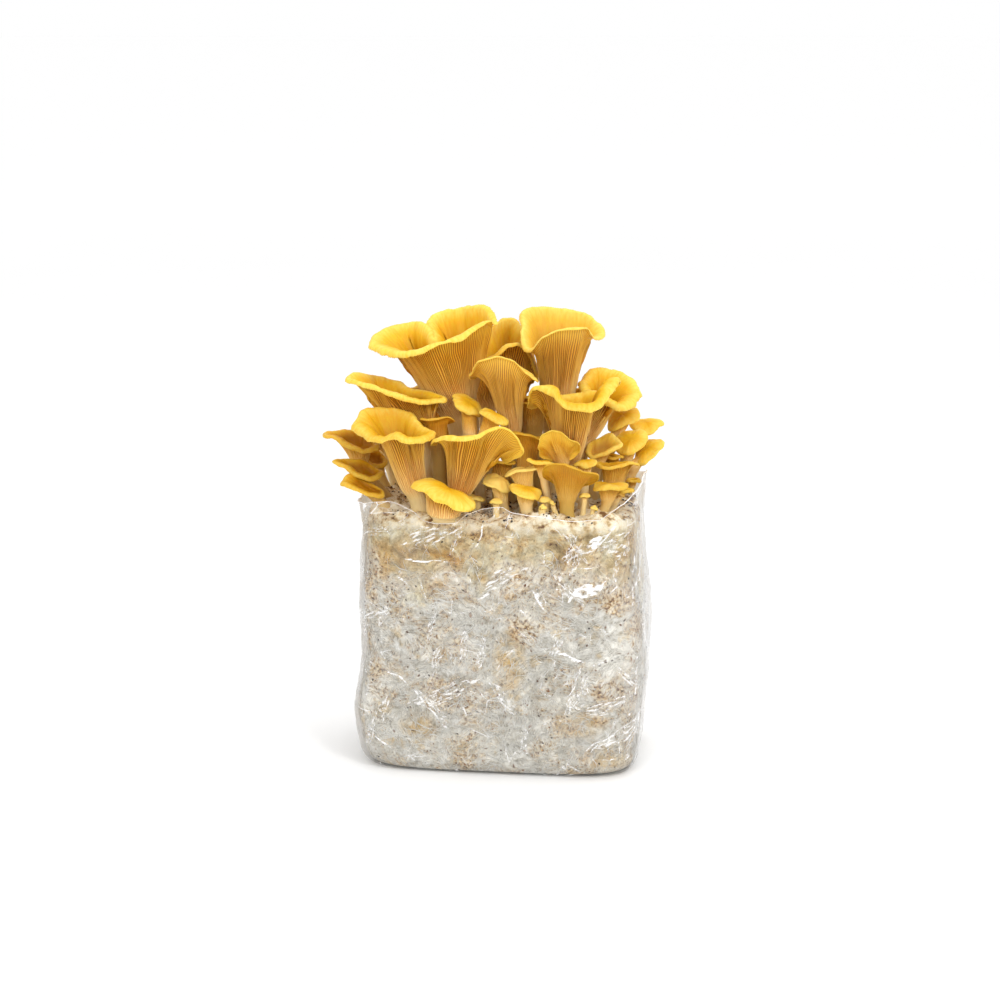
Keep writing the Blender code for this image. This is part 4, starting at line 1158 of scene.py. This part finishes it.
def front_creases(points):
    """Height of the drawn creases and facets over the front film, and their painted glints'
    whiteness.
    """
    x, z = (points[..., k] + lumps(points, way) for k, way in zip((0, 2), CREASE_WANDER))
    height, white = np.zeros(x.shape), np.zeros(x.shape)
    broken = 0.75 + lumps(points, SHINE_BREAKS)
    for route, stand, width, shine in CREASES:
        pieces = len(route) - 1
        for k in range(pieces):
            gap, t = distance_to_line(x, z, route[k], route[k + 1])
            taper = np.sin(np.pi * np.clip((k + t) / pieces, 0.06, 0.94)) ** 0.5
            ridge = np.clip(1 - gap / (2.2 * width), 0, 1)
            glint = np.clip(1.25 - gap / (0.55 * width), 0, 1)
            height = np.maximum(height, stand * taper * ridge)
            white = np.maximum(white, shine * taper * broken * glint)
    streaks = 0.65 + lumps(points * (1.0, 1.0, 2.2), FACET_STREAKS)
    for corners, shine in FACETS:
        inside = depth_inside(x, z, corners)
        white = np.maximum(white, shine * ease(inside, -0.3, 0.7) * streaks)
        height = np.maximum(height, FACET_RISE * ease(inside, -3.0, 3.0))
    front = ease(-points[..., 1], 25, 48)
    return height * front, np.clip(white, 0, 1) * front


# The film's crumples: the direction across each set of folds in degrees, its spacing and slope.
CRUMPLES = ((25, 27.0, 0.07), (-38, 21.0, 0.09), (70, 17.0, 0.12), (-72, 13.0, 0.17),
            (8, 11.0, 0.20), (-50, 8.5, 0.24), (42, 7.0, 0.24), (88, 6.0, 0.20))
CRUMPLE_WANDER = (((9.0, 30.0, 150),), ((9.0, 30.0, 151),))
# How wide, in millimetres, and how white the painted glint along each fold is.
FOLD_WIDTH = 0.55
FOLD_SHINE = 0.62


def crumple(points, arc):
    """Flat facets with sharp folds between them, as a sum of zigzags, and the folds' painted
    glints.
    """
    height, white = np.zeros(points.shape[:-1]), np.zeros(points.shape[:-1])
    across, up = (way + lumps(points, wander)
                  for way, wander in zip((arc, points[..., 2]), CRUMPLE_WANDER))
    for k, (degrees, spacing, slope) in enumerate(CRUMPLES):
        angle = math.radians(degrees)
        phase = spun(across, up, -angle)[0] / spacing + 0.6 * noise(points, 3 * spacing, 160 + k)
        zigzag = np.abs(phase % 1.0 - 0.5) * spacing
        amount = ease(noise(points, 1.8 * spacing, 170 + k), -0.05, 0.5)
        height += slope * zigzag * amount
        fold = np.clip(1.1 - (0.5 * spacing - zigzag) / FOLD_WIDTH, 0, 1)
        shine = ease(noise(points, 7.0, 180 + k), 0.15, 0.6) * amount
        white = np.maximum(white, FOLD_SHINE * fold * shine)
    return height, white


def make_film():
    """The bag's film: a flat base, a creased wall and a collar whose edge curls outwards."""
    turns = even_turns(BAG_SQUARENESS, FILM_COLUMNS, FILM_FRONT)
    plain = rounded_box(turns, 0.0, BAG_SQUARENESS)
    around = loop_lengths(plain)
    directions = right_of(along_ring(plain))
    collar = smoothed(collar_height(plain), 9) + lumps(raised(plain), COLLAR_WAVES)
    first, count = FILM_ROWS
    heights = np.concatenate((FILM_LOW_ROWS, np.linspace(first, COLLAR_START, count)))
    wall = np.array(
        [raised(rounded_box(turns, outset_at(h), BAG_SQUARENESS), h) for h in heights]
        + [raised(plain, COLLAR_START + f * (collar - COLLAR_START))
           for f in np.linspace(1 / COLLAR_ROWS, 1, COLLAR_ROWS)])

    x, y, z = np.moveaxis(wall.copy(), -1, 0)
    strength = ease(z, 0, BASE_CURVE)
    corner = hump(x, -90, 9) * hump(y, -50, 14) * ease(z, 160, 188)
    folds, fold_glint = front_creases(wall)
    small, crumple_glint = crumple(wall, around[:-1])
    small = small * (1 - 0.7 * ease(np.abs(x), 78, 90))
    together = np.maximum(folds, small) + 0.35 * np.minimum(folds, small)
    push = (body_swell(wall) + together) * strength
    push = push + ease(z, COLLAR_START, 190) * lumps(wall, COLLAR_LUMPS)
    push = push + corner * (1.0 + 2.4 * noise(wall, 5.0, 182))
    wall[..., :2] += directions * push[..., None]

    # painted glints where the film shines white, also on the loose corner, and how milky it is,
    # most at the sides and the loose corner
    white = np.maximum(fold_glint, crumple_glint)
    white = np.maximum(white, 0.5 * corner * ease(noise(wall, 4.0, 183), 0.0, 0.6))
    sides = ease(np.abs(wall[..., 0]), 84, 94) * strength
    streaks = 0.5 + 0.5 * noise(wall * (1.0, 1.0, 0.22), 3.0, 184)
    veil = 0.10 + 0.25 * noise(wall, 20.0, 185) + 0.75 * sides * streaks + 0.6 * corner
    edge = np.array([wall[-1] + EDGE_CURL * raised(directions * (1 - math.cos(b)), math.sin(b))
                     for b in EDGE_CURL_BENDS])
    # a painted glint along the collar's curled edge
    rim_glint = 0.55 + 0.4 * noise(edge, 12.0, 186)
    base = [wall[0] * (f, f, 0.0) for f in (0.02, 0.5, 0.93)]
    grid = np.concatenate((base, wall, edge))
    flat = np.zeros((len(base), len(turns)))

    def with_middle(*parts):
        """Values for the whole grid from 0 to 1, then for the point in the base's middle."""
        return np.append(np.clip(np.concatenate(parts), 0, 1), 0.0)

    points = np.vstack((grid.reshape(-1, 3), (0, 0, 0)))
    attributes = {"crease": with_middle(flat, white, rim_glint),
                  "veil": with_middle(flat, veil, np.full(rim_glint.shape, 0.5))}
    return build_mesh("bag_film_skin", points * MM, grid_faces(len(grid), len(turns)),
                      fan_faces(0, len(turns), len(points) - 1, False), attributes, around)


# Mounds of mycelium on the block's top: across, back, radius and height.
MOUNDS = ((-76, -26, 15, 11), (-62, -46, 9, 4), (-50, -20, 16, 4), (-20, -42, 12, 3),
          (8, -44, 13, 3), (30, -46, 13, 4), (50, -44, 10, 4), (66, -30, 14, 5), (80, -2, 12, 6),
          (84, 20, 11, 6), (-84, 6, 12, 9), (-80, 26, 12, 7), (0, -16, 16, 3), (28, -12, 14, 4),
          (-30, 40, 20, 4))
FOOT_MOUND = 4.0
TOP_LEVEL = 178.6
KNOBS = 2.4
# The wall rounds into the top from this height on, past these turns, by this radius.
SHOULDER_START = 170
SHOULDER_BENDS = np.radians((20, 42, 64))
SHOULDER = 5.0
TOP_ROWS = 58


def foot_mound(m):
    """The mound round the foot of a stem, as a row of MOUNDS."""
    x, y, _ = turned((*m.foot, 0.0))[0] / MM
    return x, y, 1.5 * m.foot_radius + 1.2, FOOT_MOUND


def top_height(places, feet):
    """Height of the block's rough top at each place, with a mound round each stem's foot."""
    flat = raised(places)
    knobs = np.clip(noise(flat, 4.5, 202) - 0.05, 0, 1) ** 0.7
    mound = np.zeros(places.shape[:-1])
    for x, y, radius, rise in (*MOUNDS, *feet):
        gap = np.hypot(places[..., 0] - x, places[..., 1] - y)
        mound = np.maximum(mound, rise * hump(gap, 0, radius))
    return TOP_LEVEL + lumps(flat, TOP_LUMPS) + KNOBS * knobs + mound


def block_wall(turn, height, lift=0.0):
    """Places on the block's wall, `lift` millimetres out from its surface."""
    before, after = (rounded_box(turn + way, 0.0, BLOCK_SQUARENESS) for way in (-0.002, 0.002))
    points = raised(rounded_box(turn, outset_at(height) - BLOCK_INSET, BLOCK_SQUARENESS), height)
    push = body_swell(points) + lumps(points, BLOCK_LUMPS) - BLOCK_SINK
    push = push * ease(height, 0, BASE_CURVE) + lift
    points[..., :2] += right_of(after - before) * push[..., None]
    return points


def make_block(feet):
    """The grown-through block: a lumpy wall just inside the film and a rough, mounded top."""
    turns = even_turns(BLOCK_SQUARENESS, BLOCK_COLUMNS, BLOCK_FRONT)
    directions = right_of(along_ring(rounded_box(turns, 0.0, BLOCK_SQUARENESS)))
    first, count = BLOCK_ROWS
    heights = np.concatenate((BLOCK_LOW_ROWS, np.linspace(first, SHOULDER_START, count)))
    wall = np.array([block_wall(turns, np.full(len(turns), h)) for h in heights])
    rim = wall[-1][:, :2]
    shoulder = []
    for b in SHOULDER_BENDS:
        ring = rim - directions * SHOULDER * (1 - math.cos(b))
        rise = top_height(ring, feet) - SHOULDER_START
        shoulder.append(raised(ring, SHOULDER_START + rise * math.sin(b)))
    inner = rim - directions * SHOULDER
    top = [raised(inner * f, top_height(inner * f, feet)) for f in np.linspace(1, 0.02, TOP_ROWS)]
    base = [wall[0] * (f, f, 1.0) for f in (0.05, 0.5, 0.9)]
    grid = np.concatenate((base, wall, shoulder, top))
    middle = top_height(np.zeros((1, 2)), feet)[0]
    points = np.vstack((grid.reshape(-1, 3), (0, 0, heights[0]), (0, 0, middle)))
    return build_mesh("block_body", points * MM, grid_faces(len(grid), len(turns)),
                      closed_ends(len(grid), len(turns)), around=loop_lengths(wall[PATTERN_ROW]))


# Threads lie in bundles, most of them in front. Each is a row of rings with three corners, which
# stand at these angles in radians.
BUNDLES = 110
BUNDLE_SIZE = 10
FRONT_BUNDLES = 70
THREAD_STEPS = 10
THREAD_CORNERS = (0.52, 2.62, 4.71)
THREAD_SIDES = len(THREAD_CORNERS)
THREAD_LOWEST, THREAD_HIGHEST = 3.0, 172.0
THREAD_BENDS = ((0.45, 9.0, 220),)
THREAD_LIFTS = ((0.6, 4.0, 221),)
PATH_PLACES = 4000
THREAD_SEED = 47


def make_threads():
    """Mycelium threads that lie on the block's wall, in bundles that run the same way."""
    rng = np.random.default_rng(THREAD_SEED)
    even = even_turns(BLOCK_SQUARENESS, PATH_PLACES)
    box = rounded_box(even, 0.0, BLOCK_SQUARENESS)
    length = np.linalg.norm(np.diff(box, axis=0), axis=1).sum()
    n = BUNDLES * BUNDLE_SIZE
    start_s = rng.uniform(0, length, BUNDLES)
    start_s[:FRONT_BUNDLES] = (length / 4 + BAG_DEPTH / 4
                               + BAG_WIDTH * rng.uniform(-0.45, 0.45, FRONT_BUNDLES))
    start_z = rng.uniform(6, 150, BUNDLES)
    start_heading = rng.uniform(0, 2 * np.pi, BUNDLES)
    s, z, heading = (np.repeat(start, BUNDLE_SIZE) + rng.normal(0, spread, n) for start, spread
                     in ((start_s, 6), (start_z, 5), (start_heading, 0.35)))
    z = np.clip(z, THREAD_LOWEST, THREAD_HIGHEST)
    stride = rng.uniform(0.9, 2.0, n)
    path = []
    for _ in range(THREAD_STEPS):
        path.append((s, z))
        place = raised(np.column_stack((s, z)))
        heading = heading + lumps(place, THREAD_BENDS) + rng.normal(0, 0.10, n)
        s = s + stride * np.cos(heading)
        z = np.clip(z + stride * np.sin(heading), THREAD_LOWEST, THREAD_HIGHEST)
    path = np.transpose(path, (2, 0, 1))
    turn = np.interp(np.mod(path[..., 0], length), np.linspace(0, length, len(even)), even)
    lift = 0.2 + np.abs(lumps(raised(path), THREAD_LIFTS))
    centre = block_wall(turn, path[..., 1], lift)
    ahead = unit(np.gradient(centre, axis=1))
    side = unit(np.cross(ahead, unit(centre * (1.0, 1.0, 0.0))))
    out = np.cross(side, ahead)
    taper = np.sin(np.pi * np.linspace(0.06, 0.94, THREAD_STEPS)) ** 0.5
    radius = (rng.uniform(0.14, 0.34, n)[:, None] * taper)[..., None]
    rings = np.stack([centre + radius * (math.cos(a) * side + math.sin(a) * out)
                      for a in THREAD_CORNERS], axis=2)
    firsts = np.arange(n)[:, None, None] * THREAD_STEPS * THREAD_SIDES
    quads = grid_faces(THREAD_STEPS, THREAD_SIDES)[None] + firsts
    last_ring = (THREAD_STEPS - 1) * THREAD_SIDES
    caps = np.array([(2, 1, 0), (last_ring, last_ring + 1, last_ring + 2)])[:, None] + firsts[:, 0]
    return build_mesh("block_threads", rings.reshape(-1, 3) * MM, quads.reshape(-1, 4),
                      caps.reshape(-1, 3))


def ball():
    """Points and triangles of a coarse ball, twenty faces."""
    g = (1 + math.sqrt(5)) / 2
    corners = [(-1, g, 0), (1, g, 0), (-1, -g, 0), (1, -g, 0), (0, -1, g), (0, 1, g),
               (0, -1, -g), (0, 1, -g), (g, 0, -1), (g, 0, 1), (-g, 0, -1), (-g, 0, 1)]
    faces = [(0, 11, 5), (0, 5, 1), (0, 1, 7), (0, 7, 10), (0, 10, 11), (1, 5, 9), (5, 11, 4),
             (11, 10, 2), (10, 7, 6), (7, 1, 8), (3, 9, 4), (3, 4, 2), (3, 2, 6), (3, 6, 8),
             (3, 8, 9), (4, 9, 5), (2, 4, 11), (6, 2, 10), (8, 6, 7), (9, 8, 1)]
    return unit(np.array(corners, float)), np.array(faces)


def scatter_grains(name, centres, sizes, shades, rng):
    """One mesh of uneven grains, one at each centre."""
    corners, faces = ball()
    n, size = len(centres), len(corners)
    stretch = np.stack((np.ones(n), rng.uniform(0.5, 0.95, n), rng.uniform(0.4, 0.8, n)), axis=-1)
    spin = np.linalg.qr(rng.normal(size=(n, 3, 3)))[0]
    uneven = corners * (1 + 0.18 * rng.normal(size=(n, size, 1)))
    grains = (uneven * stretch[:, None] * sizes[:, None, None]) @ spin + centres[:, None]
    triangles = faces[None] + size * np.arange(n)[:, None, None]
    return build_mesh(name, grains.reshape(-1, 3) * MM, np.zeros((0, 4), int),
                      triangles.reshape(-1, 3), {"shade": np.repeat(shades, size)})


# Places tried for crumbs, out to `CRUMB_REACH` each way, and the squarish shape of the block's top
# that keeps them. Sawdust grains, and the heights between which they lie.
CRUMB_TRIES = 5200
CRUMB_REACH = (93, 56)
CRUMB_TOP, CRUMB_SQUARENESS = (92, 54.5), 3.7
CRUMB_SEED = 31
GRAINS = 1100
GRAIN_HEIGHTS = (4, 172)
GRAIN_SEED = 53


def make_crumbs(feet):
    """Grains, husks and crumbs of substrate that lie on the block's top, thickest in drifts."""
    rng = np.random.default_rng(CRUMB_SEED)
    places = raised(np.column_stack([rng.uniform(-half, half, CRUMB_TRIES)
                                     for half in CRUMB_REACH]))
    inside = (np.abs(places[:, :2] / CRUMB_TOP) ** CRUMB_SQUARENESS).sum(axis=1) < 1
    chance = rng.uniform(-0.5, 0.3, CRUMB_TRIES)
    places = places[inside & (lumps(places, CRUMB_DRIFTS) + chance > 0)]
    sizes = 0.30 + 0.85 * rng.random(len(places)) ** 2.4
    places[:, 2] = top_height(places, feet) + 0.2 * sizes
    return scatter_grains("block_crumbs", places, sizes, rng.random(len(places)) ** 1.5, rng)


def make_grains():
    """Sawdust grains and husks that show in the block's wall between the threads."""
    rng = np.random.default_rng(GRAIN_SEED)
    tries = 3 * GRAINS
    turn = even_turns(BLOCK_SQUARENESS, PATH_PLACES)[rng.integers(0, PATH_PLACES, tries)]
    places = block_wall(turn, rng.uniform(*GRAIN_HEIGHTS, tries), 0.05)
    chance = rng.uniform(-0.6, 0.2, tries)
    places = places[lumps(places, GRAIN_DRIFTS) + chance > 0][:GRAINS]
    sizes = 0.25 + 0.75 * rng.random(len(places)) ** 2.6
    shades = 0.15 + 0.7 * rng.random(len(places))
    return scatter_grains("block_grains", places, sizes, shades, rng)


# ---------------------------------------------------------------- everything in its place


def place_piece(piece, node, material):
    piece.data.materials.append(material)
    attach(piece, "root")
    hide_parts(node)


def large_mushroom(m, seed):
    look = BIG._replace(lip=THIN_LIPS.get(m.name, BIG.lip))
    lean = unit(np.array([*m.lean, 1.0]))
    return Mushroom(m.name, m.foot, m.foot_radius, np.array(m.neck, float), m.neck_radius, lean,
                    m.flare, smooth_loop(m.rim, RIM_SPAN), m.crown, look, seed,
                    TONES_AND_SHADE.get(m.name, 0.0), BIG_DEEPEST)


def small_mushroom(m, seed):
    """A small mushroom, its stem leaning halfway from upright to the middle of its margin."""
    rim = ellipse_rim(m, OVAL_POINTS)
    neck = np.array(m.neck, float)
    lean = unit(UP + unit(rim[:, :3].mean(axis=0) - neck))
    group = m.name.split("_")[0]
    return Mushroom(m.name, m.foot, SMALL_FOOT * m.stem, neck, SMALL_NECK * m.stem, lean,
                    SMALL_FLARE, rim, m.crown, FAR if group == "back" else LITTLE, seed,
                    TONES_AND_SHADE.get(m.name, GROUP_TONES_AND_SHADE.get(group, SMALL_TONE_AND_SHADE)), SMALL_DEEPEST)


def build_all():
    mushrooms = ([large_mushroom(m, 300 + 10 * i) for i, m in enumerate(LARGE)]
                 + [small_mushroom(m, 700 + 10 * i) for i, m in enumerate(SMALL)])
    feet = [foot_mound(m) for m in mushrooms]
    flesh = new_material("mushroom_flesh", flesh_look)
    for m in mushrooms:
        place_piece(make_mushroom(m), m.name, flesh)
    crumbs = new_material("crumbs_and_husks", crumb_look)
    place_piece(make_block(feet), "substrate_block",
                new_material("mycelium_block", block_look))
    place_piece(make_threads(), "substrate_block",
                new_material("mycelium_threads", thread_look))
    place_piece(make_grains(), "substrate_block", crumbs)
    place_piece(make_crumbs(feet), "substrate_block", crumbs)
    place_piece(make_film(), "bag_film", new_material("clear_film", film_look))


# ---------------------------------------------------------------- camera, light and floor

VIEW_HEIGHT = math.radians(13.0)
VIEW_DISTANCE = 1600.0
VIEW_CENTRE = np.array([-3.5, 0.0, 182.5])
MM_PER_PIXEL = 0.70
IMAGE_SIZE = 1000
SENSOR = 36.0
# Soft lights: where each stands and looks, in metres, how wide and high it is and its power.
LIGHTS = (("key_softbox", (0.85, -1.05, 1.25), (0, 0, 0.2), 0.35, 8),
          ("front_softbox", (-0.30, -1.45, 0.85), (0, 0, 0.15), 0.22, 3),
          ("top_softbox", (0.1, 0.1, 1.6), (0, 0, 0.2), 0.8, 5))
FLOOR_REACH = 70.0
FLOOR_DROP = 0.0005


def add_to_scene(name, data, place, target):
    """A camera or light at a place, looking at a target."""
    thing = bpy.data.objects.new(name, data)
    bpy.context.scene.collection.objects.link(thing)
    thing.location = place
    direction = Vector(target) - thing.location
    thing.rotation_euler = direction.to_track_quat("-Z", "Y").to_euler()
    return thing


def set_camera():
    data = bpy.data.cameras.new("photo_camera")
    data.sensor_width = SENSOR
    data.lens = SENSOR * VIEW_DISTANCE / MM_PER_PIXEL / IMAGE_SIZE
    data.clip_end = 20.0
    back = np.array([0.0, -math.cos(VIEW_HEIGHT), math.sin(VIEW_HEIGHT)])
    bpy.context.scene.camera = add_to_scene(
        "photo_camera", data, turned(VIEW_CENTRE + VIEW_DISTANCE * back)[0],
        turned(VIEW_CENTRE)[0])


def set_stage():
    world = bpy.data.worlds.new("studio")
    world.use_nodes = True
    background = world.node_tree.nodes["Background"]
    background.inputs["Color"].default_value = WHITE
    background.inputs["Strength"].default_value = 1.0
    bpy.context.scene.world = world
    bpy.context.scene.view_settings.view_transform = "Standard"
    for name, place, target, size, power in LIGHTS:
        data = bpy.data.lights.new(name, "AREA")
        data.shape = "RECTANGLE"
        data.size, data.size_y = size, size
        data.energy = power
        add_to_scene(name, data, place, target)
    corners = FLOOR_REACH * np.array([(-1, -1, 0), (1, -1, 0), (1, 1, 0), (-1, 1, 0)])
    floor = build_mesh("floor", corners - (0, 0, FLOOR_DROP), np.array([[0, 1, 2, 3]]),
                       np.zeros((0, 3), int))
    floor.data.materials.append(new_material("pale_floor", floor_look))


build_all()
set_camera()
set_stage()
